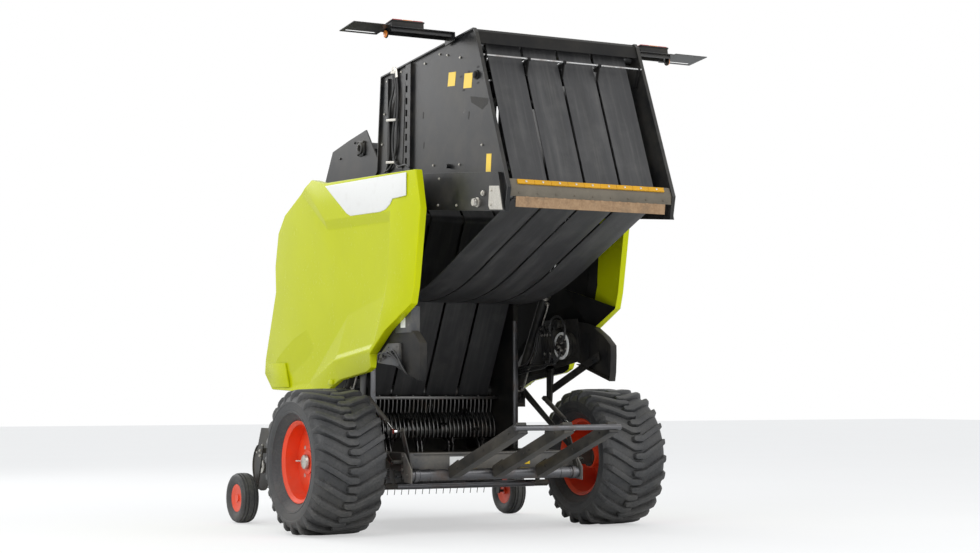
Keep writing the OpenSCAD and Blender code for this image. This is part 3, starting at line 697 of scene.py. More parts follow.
# Half of a tyre's section: radius, then distance from its middle plane
TYRE_HALF = [(0.5055, 0.0), (0.5050, 0.08), (0.5030, 0.16), (0.4985, 0.212), (0.4880, 0.245),
             (0.4700, 0.2640), (0.4480, 0.2745), (0.4440, 0.2790), (0.4300, 0.2795), (0.4265, 0.2765),
             (0.4000, 0.2780), (0.3740, 0.2700), (0.3710, 0.2730), (0.3580, 0.2690), (0.3550, 0.2620),
             (0.3350, 0.2440), (0.3180, 0.2250), (0.3080, 0.2170), (0.3045, 0.2080), (0.3035, 0.2035),
             (0.2846, 0.2000), (0.2846, 0.1650), (0.3100, 0.1780), (0.3500, 0.2280), (0.4000, 0.2480),
             (0.4500, 0.2350), (0.4750, 0.1900), (0.4780, 0.0)]


# How much wider a tread bar's foot is, and how far it goes below the carcass
LUG_FLANK = 0.011
LUG_SINK = 0.012


def lug(name, side):
    """One tread bar: from the shoulder it slants to the middle, bends and ends just past it."""
    # Distance from the middle plane towards the bar's own shoulder, angle in degrees, drop of its top
    path = [(0.272, 15.6, 0.052), (0.262, 15.0, 0.030), (0.245, 14.0, 0.011), (0.215, 12.2, 0.0055),
            (0.150, 8.3, 0.002), (0.090, 4.6, 0.001), (0.048, 2.1, 0.0), (0.030, 1.7, 0.0),
            (-0.020, 1.7, 0.0), (-0.038, 1.7, 0.0)]
    half_top = [0.010, 0.017, 0.021, 0.023, 0.0235, 0.024, 0.024, 0.0235, 0.022, 0.012]
    obj = start("grid", name, x_subdivisions=len(path) - 1, y_subdivisions=2, size=1)
    verts = obj.data.vertices
    columns = sorted({round(v.co.x, 4) for v in verts})
    rows = sorted({round(v.co.y, 4) for v in verts})
    settle(obj)
    editing(obj)
    bpy.ops.mesh.extrude_region_move(TRANSFORM_OT_translate={"value": (0, 0, -1)})
    idle()
    for vert in obj.data.vertices:
        column = min(range(len(columns)), key=lambda i: abs(columns[i] - vert.co.x))
        row = min(range(3), key=lambda i: abs(rows[i] - vert.co.y)) - 1
        low = vert.co.z < -0.5
        y, angle, drop = path[column]
        half = half_top[column] + (LUG_FLANK if low else 0.0)
        if low and column in (0, len(path) - 1):
            y += 0.006 if column == 0 else -0.010
        radius = TYRE_R - drop - (sizes().lug_height + LUG_SINK if low else 0.0)
        turn = math.radians(angle) + row * half / TYRE_R
        vert.co = (-math.cos(turn) * radius, side * y, math.sin(turn) * radius)
    face_out(obj)
    round_edges(obj, 0.0035, 2, 40)
    return obj


def main_tyre(name):
    """A flotation tyre standing left of the middle: a turned carcass and two rows of bars."""
    inner = [(r, -y) for r, y in TYRE_HALF[-2:0:-1]]
    parts = [spun(name, [(r, y + WHEEL_Y) for r, y in TYRE_HALF + inner], (0, AXLE_Z), 120)]
    axle = Matrix.Translation(spot(0, WHEEL_Y, AXLE_Z))
    for side, shift in ((1, 0.0), (-1, 0.5)):
        bar = lug("tread_bar", side)
        for i in range(sizes().lug_count):
            turn = Matrix.Rotation(math.tau * (i + shift) / sizes().lug_count, 4, "Y")
            parts.append(copy_of(bar, f"tread_bar_{i}", axle @ turn))
        bpy.data.objects.remove(bar)
    return smooth(join(parts, name), 32)


def gauge_tyre(name):
    """The tyre of a gauge wheel, left of the middle."""
    section = [(0.2, 0.0), (0.2, 0.018), (0.193, 0.019), (0.193, 0.027), (0.199, 0.028), (0.197, 0.042),
               (0.188, 0.043), (0.187, 0.050), (0.192, 0.052), (0.186, 0.062), (0.172, 0.071),
               (0.150, 0.0715), (0.130, 0.062), (0.116, 0.052), (0.1103, 0.049)]
    whole = section + [(r, -y) for r, y in section[:0:-1]]
    return spun(name, [(r, y + GAUGE_Y) for r, y in whole], GAUGE_AT, 64)


def wheel_trim(name):
    """A main wheel's nuts, hub cap and valve, left of the middle."""
    parts = []
    for i in range(8):
        a = math.tau * i / 8
        at = spot(NUT_RING * math.cos(a), WHEEL_Y + 0.0995, AXLE_Z + NUT_RING * math.sin(a))
        parts.append(bolt(name + f"_{i}", at, (0, 1, 0), 0.019))
    cap = spun(name + "_cap", [(0.001, 1.36), (0.05, 1.36), (0.056, 1.372), (0.05, 1.386), (0.03, 1.393),
                               (0.001, 1.395)], (0, AXLE_Z), 40)
    valve = rod_between(name + "_valve", spot(0.2, 1.30, AXLE_Z), spot(0.235, 1.345, AXLE_Z), 0.006, 10)
    return join(parts + [cap, valve], name)


def on_both_sides(make, name, look, body, *nodes):
    """A left piece and its mirror image, each on its own side's body."""
    left = make(f"{name}_left")
    right = mirrored(left, f"{name}_right")
    for obj, side in ((left, "left"), (right, "right")):
        place_on(obj, look, f"{body}_{side}", *(f"{node}_{side}" for node in nodes))


def build_wheels():
    on_both_sides(main_tyre, "main_tyre", "tyre_rubber", "wheel", "tyre")
    on_both_sides(gauge_tyre, "gauge_ring", "tyre_rubber", "gauge_wheel", "gauge_tyre")
    on_both_sides(wheel_trim, "wheel_nuts", "zinc", "wheel")


# Hoods

HOOD_BACK = 0.842
# Corners of a hood's pressed face: x, z and distance from the middle plane
HOOD_CORNERS = {
    "top": (0.96, 2.73, 0.906), "top_rear": (0.72, 2.68, 0.910), "rear_top": (-0.83, 2.64, 0.897),
    "rear_1": (-0.90, 2.35, 0.894), "rear_2": (-0.80, 1.80, 0.892), "rear_3": (-0.76, 1.68, 0.894),
    "rear_low": (-0.37, 1.50, 0.910), "heel": (-0.11, 1.33, 0.908), "heel_low": (-0.09, 1.23, 0.884),
    "sill_rear": (-0.01, 1.20, 0.880), "sill_front": (0.48, 1.14, 0.878), "notch": (0.70, 1.06, 0.882),
    "low_1": (0.85, 1.04, 0.888), "low_2": (1.77, 1.07, 0.890), "nose_low": (1.92, 1.20, 0.892),
    "nose_1": (1.90, 1.32, 0.894), "nose_2": (1.68, 1.87, 0.900), "nose_3": (1.69, 2.08, 0.902),
    "nose_4": (1.63, 2.35, 0.902), "nose_5": (1.50, 2.49, 0.902), "nose_top": (1.17, 2.64, 0.902),
    "wall_top": (1.09, 2.68, 0.908), "wall_a": (0.70, 2.385, 0.910), "wall_b": (-0.445, 2.37, 0.910),
    "wall_c": (-0.405, 1.885, 0.910), "wall_d": (-0.345, 1.70, 0.910), "wall_e": (-0.19, 1.43, 0.909),
    "panel_a": (0.69, 2.31, 0.884), "panel_b": (-0.38, 2.30, 0.866), "panel_c": (-0.34, 1.90, 0.866),
    "panel_d": (-0.28, 1.75, 0.872), "fold_top": (0.37, 1.64, 0.854), "fold_low": (1.08, 1.12, 0.860),
    "shelf_rear": (-0.13, 1.405, 0.886), "shelf_front": (0.505, 1.335, 0.884),
    "ridge_rear": (-0.105, 1.365, 0.909), "ridge_front": (0.53, 1.290, 0.907),
}
HOOD_FACES = [
    ("wall_top", "top", "top_rear", "rear_top", "wall_b", "wall_a"),
    ("rear_top", "rear_1", "rear_2", "rear_3", "wall_d", "wall_c", "wall_b"),
    ("rear_3", "rear_low", "heel", "ridge_rear", "wall_e", "wall_d"),
    ("nose_top", "wall_top", "wall_a", "panel_a"), ("panel_a", "wall_a", "wall_b", "panel_b"),
    ("panel_b", "wall_b", "wall_c", "panel_c"), ("panel_c", "wall_c", "wall_d", "panel_d"),
    ("panel_d", "wall_d", "wall_e", "shelf_rear"),
    ("panel_a", "panel_b", "panel_c", "panel_d", "fold_top"),
    ("panel_a", "fold_top", "fold_low", "low_2", "nose_low", "nose_1", "nose_2", "nose_3", "nose_4", "nose_5",
     "nose_top"),
    ("fold_top", "panel_d", "shelf_rear", "shelf_front"), ("fold_top", "shelf_front", "fold_low"),
    ("shelf_rear", "ridge_rear", "ridge_front", "shelf_front"), ("shelf_rear", "wall_e", "ridge_rear"),
    ("ridge_rear", "heel", "heel_low", "sill_rear", "sill_front", "ridge_front"),
    ("ridge_front", "sill_front", "notch", "low_1", "fold_low"), ("shelf_front", "ridge_front", "fold_low"),
    ("fold_low", "low_1", "low_2"),
]


def pressed_sheet(name, corners, faces, back, skin, bevel):
    """A shell pressed from sheet: flat fields between corners, turned back all round to one depth."""
    keys = list(corners)
    mesh = bpy.data.meshes.new(name)
    mesh.from_pydata([spot(x, y, z) for x, z, y in corners.values()], [],
                     [[keys.index(k) for k in f] for f in faces])
    obj = bpy.data.objects.new(name, mesh)
    bpy.context.scene.collection.objects.link(obj)
    editing(obj)
    bpy.ops.mesh.normals_make_consistent(inside=False)
    bpy.ops.mesh.select_all(action="DESELECT")
    bpy.ops.mesh.select_mode(type="EDGE")
    bpy.ops.mesh.select_non_manifold()
    bpy.ops.mesh.extrude_edges_move(TRANSFORM_OT_translate={"value": (0, -0.5, 0)})
    idle()
    for vert in mesh.vertices:
        if vert.co.y < 0.5:
            vert.co.y = back
    bpy.context.view_layer.objects.active = obj
    editing(obj)
    bpy.ops.mesh.normals_make_consistent(inside=False)
    idle()
    if sum(f.normal.y * f.area for f in mesh.polygons) < 0:
        mesh.flip_normals()
    round_edges(obj, bevel, 4, 5)
    return modify(obj, "SOLIDIFY", thickness=skin, offset=-1, use_even_offset=True)


def hood_shade_lining(name, shell):
    """A near-black lining on a hood's inner face, clear of the rear border: it stands for the dark inner face
    and paints in the shade inside the hood.
    """
    shade_lining = copy_of(shell, name, Matrix.Translation((0, -0.0006, 0)))
    for face in shade_lining.data.polygons:
        face.select = face.normal.y > -0.25 or (face.center.x + MID_X < -0.43 and face.center.z > 1.72)
    take(shade_lining)
    bpy.ops.object.mode_set(mode="EDIT")
    bpy.ops.mesh.select_mode(type="FACE")
    bpy.ops.mesh.delete(type="FACE")
    idle()
    return smooth(modify(shade_lining, "SOLIDIFY", thickness=0.002, offset=1), 40)


def hood(name):
    """The left hood and its dark lining, which also paints in the shade inside it: a pressed shell with hinge
    knuckles and the latch in its notch.
    """
    shell = pressed_sheet(name, HOOD_CORNERS, HOOD_FACES, HOOD_BACK, sizes().hood_skin, sizes().hood_bevel)
    shade_lining = hood_shade_lining(name + "_lining", shell)
    patch = cut_plate(name + "_patch", [(1.89, 1.285), (1.50, 1.285), (1.42, 1.09), (1.76, 1.088),
                                        (1.90, 1.21)],
                      0.880, 0.8935, 0.002)
    latch = block(name + "_latch", (0.58, 0.66), (0.872, 0.893), (1.105, 1.145), 0.005)
    parts = [shell, patch, latch]
    for x in (0.55, 0.93):
        parts.append(block(f"{name}_knuckle_{x}", (x, x + 0.04), (0.80, 0.885), (2.648, 2.668), 0.003))
        ends = (spot(at, 0.80, 2.668) for at in (x, x + 0.04))
        parts.append(rod_between(f"{name}_eye_{x}", *ends, 0.022, 24, 0.002))
    return smooth(join(parts, name), 40), shade_lining


def hood_field(name):
    """The blank pale field that is set on a hood's upper border."""
    base = cut_plate(name, [(0.69, 2.655), (-0.71, 2.628), (-0.71, 2.46), (-0.49, 2.455), (-0.455, 2.42),
                            (-0.38, 2.385), (-0.28, 2.375), (0.22, 2.385), (0.29, 2.41)], 0.905, 0.9155)
    return smooth(round_edges(base, 0.006, 3, 30), 40)


def build_hoods():
    for side in ("left", "right"):
        piece, shade_lining = hood(f"side_hood_{side}")
        field = hood_field(f"hood_field_{side}")
        if side == "right":
            piece, shade_lining, field = (swap(o) for o in (piece, shade_lining, field))
        place_on(piece, "lime_paint", f"hood_{side}", f"hood_{side}")
        # The lining's near-black paint stands for the hood's dark inner face and also paints in the shade
        # inside the hood
        place_on(shade_lining, "shade_darkened_paint", f"hood_{side}")
        place_on(field, "white_plate", f"hood_{side}")


def swap(obj):
    """Moves a piece to the other side of the machine."""
    obj.data.transform(Matrix.Scale(-1, 4, (0, 1, 0)))
    obj.data.flip_normals()
    return obj


# Crop intake

ROTOR_AT = (0.76, 0.745)
COMB_PITCH = 0.037


def build_intake():
    finger = cut_plate("comb_finger", arc(ROTOR_AT, 0.175, 200, 125, 14) + [(0.648, 0.945), (0.645, 1.005),
                       (0.69, 1.005), (0.694, 0.93)] + arc(ROTOR_AT, 0.150, 112, 200, 14), -0.006, 0.006)
    round_edges(finger, 0.0035, 3, 40)
    fingers = repeated(finger, "comb_fingers", [(0, (i - 15) * COMB_PITCH, 0) for i in range(31)])
    rail = block("comb_rail", (0.64, 0.70), (-0.615, 0.615), (0.99, 1.015), 0.004)
    heads = [bolt(f"comb_bolt_{i}", spot(0.67, i * 0.148, 1.015), (0, 0, 1), 0.011) for i in range(-4, 5)]
    comb = smooth(join([fingers, rail] + heads, "intake_comb"), 40)
    place_on(comb, "comb_steel", "root", "feed_comb")
    at = Vector((ROTOR_AT[0], 0, ROTOR_AT[1]))
    parts = [cross_rod("rotor_tube", ROTOR_AT, -0.609, 0.609, 0.07, 48, 0.004),
             cross_rod("rotor_shaft", ROTOR_AT, -0.664, 0.664, 0.025, 24, 0.002)]
    # A tine's outline about the shaft: it leans back, then hooks forward to its tip
    outline = [(-0.026, 0.055), (0.026, 0.055), (0.024, 0.10), (0.017, 0.15), (0.004, 0.195), (-0.014, 0.226),
               (-0.026, 0.232), (-0.028, 0.222), (-0.020, 0.19), (-0.016, 0.15), (-0.020, 0.10)]
    tine = cut_plate("rotor_tine", [(at.x + x, at.z + z) for x, z in outline], -0.004, 0.004)
    round_edges(tine, 0.0018, 2, 30)
    centre = Matrix.Translation(spot(at.x, 0, at.z))
    for s in range(15):
        for side in (0, 180):
            for k in (0, 1):
                y = (2 * s + k - 14.5) * COMB_PITCH
                if abs(y) < 0.595:
                    turn = Matrix.Rotation(math.radians(s * 48 + side), 4, "Y")
                    parts.append(copy_of(tine, f"tine_{s}_{side}_{k}",
                                         Matrix.Translation((0, y, 0)) @ centre @ turn @ centre.inverted()))
    bpy.data.objects.remove(tine)
    rotor = smooth(join(parts, "intake_rotor"), 40)
    place_on(rotor, "comb_steel", "rotor", "rotor")


# Tailgate

GATE_LIP = (0.21, 0.63)
GUIDE_ROD = (-0.715, 1.095)
GATE_HALF = 0.66
BAR_HALF = 0.6
BOARD_X = -0.876
BOARD_MID = 1.205


def leaned(obj):
    """Leans a piece of a light board along the tailgate's sloping rear edge."""
    centre = spot(BOARD_X, 0, 1.57)
    obj.data.transform(Matrix.Translation(centre) @ Matrix.Rotation(math.radians(12), 4, "Y")
                       @ Matrix.Translation(-centre))
    return obj


def on_gate(obj, name, *nodes):
    """Turns a piece drawn on the closed tailgate to its open place and fixes it there."""
    return place_on(turned_gate(obj), name, "gate", *nodes)


def with_twin(obj):
    """A left piece together with its mirror image."""
    return join([obj, mirrored(obj, obj.name + "_twin")], obj.name)


def oblong(name, at, length, width, angle, y0, y1):
    """A plate with round ends, lying at an angle in the side plane."""
    turn, half = math.radians(angle), (length - width) / 2
    ends = [(at[0] + k * half * math.cos(turn), at[1] + k * half * math.sin(turn)) for k in (1, -1)]
    outline = arc(ends[0], width / 2, angle - 90, angle + 90, 5)
    outline += arc(ends[1], width / 2, angle + 90, angle + 270, 5)
    return cut_plate(name, outline, y0, y1)


def side_bolts(name, places, y, size=0.008):
    """Hexagon heads standing out of a left side face."""
    heads = [bolt(f"{name}_{i}", spot(x, y, z), (0, 1, 0), size) for i, (x, z) in enumerate(places)]
    return join(heads, name)


def ring_plate(name, at, outer, inner, y0, y1, steps=40):
    """A flat washer on a left side face, its outer edge broken."""
    section = [(inner, y0), (outer, y0), (outer, y1 - 0.001), (outer - 0.001, y1), (inner, y1)]
    return spun(name, section, at, steps)


def stud(name, face, profile, at, steps):
    """A turned part on a side face, its profile as radius and height above that face."""
    return spun(name, [(radius, face + height) for radius, height in profile], at, steps)


def sheet_details():
    """What is bolted to the tailgate's side sheets, and black patches that stand for the openings in them and
    paint in the shade seen through them.
    """
    # Black patches in place of the openings: they paint in the shade that shows through the holes
    dark = [oblong("opening", (x, z), length, 0.014, angle, SHEET_OUT, SHEET_OUT + 0.0008)
            for x, z, length, angle in ((-0.603, 1.274, 0.036, 80), (-0.575, 1.386, 0.036, 80),
                                        (-0.631, 1.143, 0.034, 80), (-0.520, 1.133, 0.034, 80),
                                        (-0.501, 1.243, 0.036, 80), (-0.477, 1.339, 0.036, 80),
                                        (-0.296, 1.247, 0.060, 10), (-0.10, 1.92, 0.05, 5),
                                        (-0.32, 1.95, 0.05, 5))]
    dark.append(cut_plate("edge_opening", [(-0.43, 1.235), (-0.405, 0.965), (-0.365, 0.985), (-0.33, 1.055),
                                           (-0.385, 1.215)], SHEET_OUT, SHEET_OUT + 0.0008))
    knob = stud("sheet_knob", SHEET_OUT, [(0.001, 0), (0.034, 0), (0.034, 0.006), (0.024, 0.009),
                                          (0.024, 0.022), (0.018, 0.026), (0.001, 0.026)], (-0.577, 1.156),
                32)
    on_gate(with_twin(join(dark + [knob], "sheet_openings")), "black_plastic")
    cover = cut_plate("hose_cover", [(-0.685, 2.30), (-0.66, 2.385), (-0.60, 2.42), (0.04, 2.40),
                                     (0.075, 2.37), (0.075, 2.25), (-0.685, 2.26)], SHEET_OUT,
                      SHEET_OUT + 0.004, 0.0015)
    flange = cut_plate("inner_flange", [(0.10, 2.47), (0.10, 2.485), (-0.62, 2.545), (-0.62, 2.53)],
                       SHEET_OUT, SHEET_OUT + 0.018, 0.001)
    seam = cut_plate("band_edge", [(0.115, 0.74), (0.115, 2.05), (0.108, 2.05), (0.108, 0.745)], SHEET_OUT,
                     BAND_OUT + 0.001, 0.001)
    on_gate(with_twin(join([cover, flange, seam], "sheet_plates")), "dark_paint")
    places = [(-0.712, 1.405), (-0.083, 1.032), (-0.66, 2.33), (0.05, 2.33), (-0.30, 2.37), (-0.74, 1.60),
              (-0.60, 2.57), (-0.35, 2.59), (-0.12, 2.61), (0.05, 1.35), (0.05, 1.75), (-0.70, 1.95),
              (-0.755, 1.72)]
    heads = side_bolts("sheet_bolts", places, SHEET_OUT + 0.004)
    band = side_bolts("band_bolts", [(0.34, 1.32), (0.34, 1.60), (0.15, 1.60), (0.34, 1.90), (0.15, 2.25),
                                     (0.31, 2.38), (0.17, 2.60), (0.25, 2.45)], BAND_OUT, 0.010)
    caps = ring_plate("pivot_cap", PIVOT, 0.062, 0.031, BAND_OUT, BAND_OUT + 0.005)
    on_gate(with_twin(join([heads, band, caps], "gate_bolts")), "zinc")


def latch_details():
    """The latch plates, their stubs and rollers, low down on the tailgate's boxed band."""
    plate_part = cut_plate("latch_plate", [(0.204, 0.7143), (0.366, 0.6535), (0.366, 0.8305), (0.3404, 0.851),
                                           (0.204, 0.851)], BAND_OUT, BAND_OUT + 0.0055, 0.0015)
    heads = side_bolts("latch_bolts", [(0.235, 0.82), (0.335, 0.815)], BAND_OUT + 0.0055, 0.009)
    stub = stud("latch_stub", BAND_OUT, [(0.001, 0), (0.034, 0), (0.034, 0.008), (0.0255, 0.010),
                                         (0.0255, 0.018), (0.028, 0.019), (0.028, 0.030), (0.0255, 0.032),
                                         (0.0255, 0.0405), (0.001, 0.0415)], (0.318, 1.01), 32)
    small = stud("latch_roller", BAND_OUT, [(0.001, 0), (0.020, 0), (0.020, 0.012), (0.012, 0.014),
                                            (0.012, 0.020), (0.001, 0.021)], (0.255, 0.93), 24)
    on_gate(with_twin(join([plate_part, heads, stub, small], "latch_parts")), "zinc")


def gate_plates():
    """The blank plates on the tailgate's sheets."""
    y = SHEET_OUT + 0.0012
    outlines = [[(-0.615, 1.575), (-0.515, 1.585), (-0.515, 1.475), (-0.615, 1.465)],
                [(-0.595, 1.335), (-0.490, 1.345), (-0.490, 1.225), (-0.595, 1.215)],
                [(-0.020, 0.895), (0.105, 0.895), (0.105, 0.965), (-0.020, 0.965)]]
    parts = [cut_plate(f"blank_plate_{i}", o, SHEET_OUT, y, 0.0004, 1) for i, o in enumerate(outlines)]
    on_gate(with_twin(join(parts, "blank_gate_plates")), "yellow_plate")


def gate_hoses():
    """Hoses that hang in loops on the front part of the tailgate's left sheet, and their clips."""
    y = SHEET_OUT + 0.016
    lines = [[(-0.68, 2.45), (-0.60, 2.44), (-0.54, 2.41), (-0.45, 2.47), (-0.32, 2.50), (-0.10, 2.45),
              (0.04, 2.46), (0.085, 2.50)],
             [(-0.68, 2.43), (-0.58, 2.39), (-0.44, 2.35), (-0.21, 2.41), (-0.05, 2.40), (0.045, 2.33),
              (0.06, 2.26), (0.03, 2.17), (0.06, 2.10)],
             [(-0.67, 2.40), (-0.50, 2.33), (-0.30, 2.36), (-0.12, 2.33), (0.02, 2.38), (0.08, 2.44),
              (0.09, 2.52)]]
    tubes = [hose(f"gate_hose_{i}", [spot(x, y + 0.003 * (i % 2), z) for x, z in line], sizes().hose_radius,
                  12)
             for i, line in enumerate(lines)]
    on_gate(join(tubes, "gate_hoses"), "hose_rubber")
    clips = []
    for i, (x, z, tall) in enumerate(((-0.66, 2.43, 0.075), (-0.30, 2.43, 0.16), (0.02, 2.415, 0.14))):
        clips.append(block(f"hose_clip_{i}", (x - 0.010, x + 0.010), (SHEET_OUT, y + 0.014),
                           (z - tall / 2, z + tall / 2), 0.004))
    for i, line in enumerate(lines):
        (x, z), (u, w) = line[0], line[1]
        clips.append(rod_between(f"hose_end_{i}", spot(x - 0.02, y, z),
                                 spot(x + (u - x) * 0.3, y, z + (w - z) * 0.3), 0.0125, 6, 0.001))
    on_gate(join(clips, "gate_hose_clips"), "zinc")


def gate_cross_parts():
    """The cross plates between the sheets, and the bright rod with its forked fingers."""
    w = GATE_HALF
    parts = [cut_plate("top_cross", [(-0.64, 2.66), (-0.64, 2.60), (-0.56, 2.60), (-0.56, 2.66)], -w, w,
                       0.004),
             cut_plate("rear_cross", [(-0.905, 1.225), (-0.885, 1.185), (-0.80, 1.145), (-0.80, 1.155),
                                      (-0.878, 1.194), (-0.896, 1.228)], -w, w, 0.0015),
             cross_rod("cross_tube", (-0.64, 1.80), -w, w, 0.03, 32)]
    x, z = GUIDE_ROD
    for i in (-1, 0, 1):
        finger = cut_plate(f"finger_{i}", [(x - 0.012, z - 0.010), (x + 0.010, z - 0.013),
                                           (x + 0.120, z + 0.008), (x + 0.122, z + 0.018),
                                           (x + 0.045, z + 0.022), (x + 0.043, z + 0.062),
                                           (x + 0.023, z + 0.072), (x + 0.002, z + 0.020),
                                           (x - 0.012, z + 0.012)],
                           i * BELT_PITCH - 0.004, i * BELT_PITCH + 0.004, 0.0015)
        collar = ring_plate(f"collar_{i}", GUIDE_ROD, 0.014, 0.0079, i * BELT_PITCH - 0.014,
                            i * BELT_PITCH + 0.014, 20)
        parts += [finger, collar]
    for side in (-1, 1):
        ends = sorted((side * 0.634, side * 0.640))
        parts.append(cut_plate("rod_bracket", [(x - 0.016, z - 0.014), (x + 0.016, z - 0.014),
                                               (x + 0.13, z + 0.02), (x + 0.13, z + 0.05),
                                               (x - 0.016, z + 0.016)], *ends, 0.0015))
        parts.append(bolt("rod_nut", spot(x, side * 0.640, z), (0, side, 0), 0.012))
    # These parts get black paint darker than the sheets', which paints in the shade of the deep recess
    # between the sheets
    on_gate(smooth(join(parts, "gate_cross_parts"), 40), "shade_darkened_paint", "gate_cross")
    rod = cross_rod("guide_rod", GUIDE_ROD, -w, w, 0.008, 20)
    nuts = [bolt(f"guide_stop_{i}", spot(x, i * BELT_PITCH + 0.016, z), (0, 1, 0), 0.011) for i in (-1, 0, 1)]
    on_gate(smooth(join([rod] + nuts, "guide_rod"), 40), "bright_steel", "gate_cross")


def lip_parts():
    """The worn lip across the tailgate, its amber bar in short lengths and the tan guard beside it."""
    x, z = GATE_LIP
    lip = cut_plate("lip_plate", [(x - 0.06, z + 0.034), (x, z), (x + 0.06, z), (x + 0.06, z + 0.008),
                                  (x + 0.004, z + 0.008), (x - 0.054, z + 0.042)], -GATE_HALF, GATE_HALF,
                    0.002, 3)
    heads = [bolt(f"lip_bolt_{i}", spot(x + 0.035, i * 0.148, z), (0, 0, -1), 0.007) for i in range(-4, 5)]
    on_gate(smooth(join([lip] + heads, "lip_plate"), 40), "grey_paint", "gate_lip_plate")
    run = Vector((-0.06, 0, 0.034)).normalized()
    rise = Vector((-run.z, 0, run.x)) * 0.014
    first, last = 0.026, 0.060
    lengths = []
    count, joint = sizes().bar_lengths, 0.0008
    for i in range(count):
        y0, y1 = (BAR_HALF * (2 * k / count - 1) for k in (i, i + 1))
        corners = [run * first, run * last, run * last + rise, run * first + rise]
        lengths.append(cut_plate(f"bar_length_{i}", [(x + c.x, z + c.z) for c in corners], y0 + joint,
                                 y1 - joint, 0.0025, 3))
    on_gate(smooth(join(lengths, "lip_bar_lengths"), 40), "amber_paint", "lip_bar")
    studs = []
    for i in range(count):
        at = spot(x, BAR_HALF * ((2 * i + 1) / count - 1), z) + run * 0.043
        studs.append(rod_between(f"bar_stud_{i}", at + rise * 0.9, at + rise * 1.25, 0.008, 12, 0.001))
    on_gate(smooth(join(studs, "lip_bar_studs"), 40), "zinc")
    guard = cut_plate("lip_guard", [(x + 0.058, z + 0.001), (x + 0.132, z + 0.004), (x + 0.132, z + 0.010),
                                    (x + 0.058, z + 0.009)], -0.61, 0.61, 0.001)
    teeth = [cut_plate(f"guard_tab_{i}", [(x + 0.058, z - 0.001), (x + 0.070, z - 0.001),
                                          (x + 0.070, z + 0.003), (x + 0.058, z + 0.003)], i * 0.075 - 0.012,
                       i * 0.075 + 0.012)
             for i in range(-7, 8)]
    on_gate(join([guard] + teeth, "lip_guard"), "tan_plate")


def lamp_parts():
    """Both rear lamps: a dark case on each light board, ribbed lenses on it and a round side reflector."""
    x, z0, z1 = BOARD_X, 1.5, 1.6
    case = block("lamp_case", (x - 0.052, x), (0.92, 1.17), (z0, z1), 0.006)
    rim = block("lamp_rim", (x - 0.058, x - 0.046), (0.916, 1.174), (z0 - 0.004, z1 + 0.004), 0.003)
    cable = hose("lamp_cable", [spot(x + 0.012, 0.72, 1.53), spot(x + 0.014, 0.82, 1.545),
                                spot(x + 0.012, 0.95, 1.53),
                                spot(x + 0.012, 1.08, 1.535), spot(x + 0.002, 1.12, 1.54)], 0.005)
    back = cross_rod("reflector_back", (x + 0.035, 1.56), BOARD_MID - 0.017, BOARD_MID - 0.008, 0.030, 32,
                     0.002)
    on_gate(smooth(with_twin(leaned(join([case, rim, cable, back], "lamp_cases"))), 40), "black_plastic",
            "rear_lamps")
    reds = [block(f"red_lens_{i}", (x - 0.065, x - 0.055), (y0, y1), (z0 + 0.004, z1 - 0.004), 0.003)
            for i, (y0, y1) in enumerate(((0.925, 1.003), (1.087, 1.165)))]
    on_gate(smooth(with_twin(leaned(join(reds, "red_lenses"))), 40), "red_lens", "rear_lamps")
    amber = block("amber_lens", (x - 0.065, x - 0.055), (1.006, 1.084), (z0 + 0.004, z1 - 0.004), 0.003)
    disc = cross_rod("side_reflector", (x + 0.035, 1.56), BOARD_MID - 0.009, BOARD_MID, 0.027, 32, 0.003)
    on_gate(smooth(with_twin(leaned(join([amber, disc], "amber_lenses"))), 40), "amber_lens", "rear_lamps")
    heads = [bolt(f"board_bolt_{i}", spot(x, y, z), (-1, 0, 0), 0.008)
             for i, (y, z) in enumerate(((0.72, 1.50), (0.72, 1.59), (0.80, 1.545), (1.19, 1.49),
                                         (1.19, 1.60), (1.25, 1.50), (1.45, 1.50)))]
    on_gate(with_twin(leaned(join(heads, "board_bolts"))), "zinc")


# The belts' line from the tailgate to the chamber, as x and z from the axle, and two places given for where a
# bend begins and ends, though nothing bends the belts
BELT_RUN = [(-1.6674, 2.3762), (-1.30, 2.215), (-0.95, 2.062), (-0.65, 1.930), (-0.38, 1.832), (-0.15, 1.778),
            (0.06, 1.757), (0.25, 1.754)]
BLEND_START = (0.05, 0, 1.757)
BLEND_END = (-1.60, 0, 2.347)


def eased(points, steps):
    """Places along a smooth line through the given ones."""
    out = []
    rows = [points[0]] + list(points) + [points[-1]]
    for i in range(len(points) - 1):
        a, b, c, d = (Vector(p) for p in rows[i:i + 4])
        for k in range(steps):
            t = k / steps
            bend, twist = 2 * a - 5 * b + 4 * c - d, 3 * b - a - 3 * c + d
            out.append(0.5 * (2 * b + (c - a) * t + bend * t ** 2 + twist * t ** 3))
    return out + [Vector(points[-1])]


def belt_run():
    """The four belts between the tailgate and the chamber, laid along one fixed line."""
    line = eased(BELT_RUN, 7)
    belts = []
    for i in range(4):
        strip = start("grid", f"belt_{i}", x_subdivisions=len(line) - 1, y_subdivisions=4, size=2)
        middle = (i - 1.5) * BELT_PITCH
        for vert in strip.data.vertices:
            at = line[round((vert.co.x + 1) / 2 * (len(line) - 1))]
            vert.co = spot(at.x, middle + vert.co.y * BELT_HALF, at.y - 0.0002)
        face_out(modify(strip, "SOLIDIFY", thickness=BELT_THICK, offset=-1))
        belts.append(round_edges(strip, 0.0015, 2, 50))
    run = smooth(join(belts, "belt_run"), 40)
    dress(run, "belt_rubber")
    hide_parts("belt_span")
    spot(*BLEND_START)
    spot(*BLEND_END)
    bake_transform(run)


def build_gate():
    belt_run()
    sheet_details()
    latch_details()
    gate_plates()
    gate_hoses()
    gate_cross_parts()
    lip_parts()
    lamp_parts()


# Side units

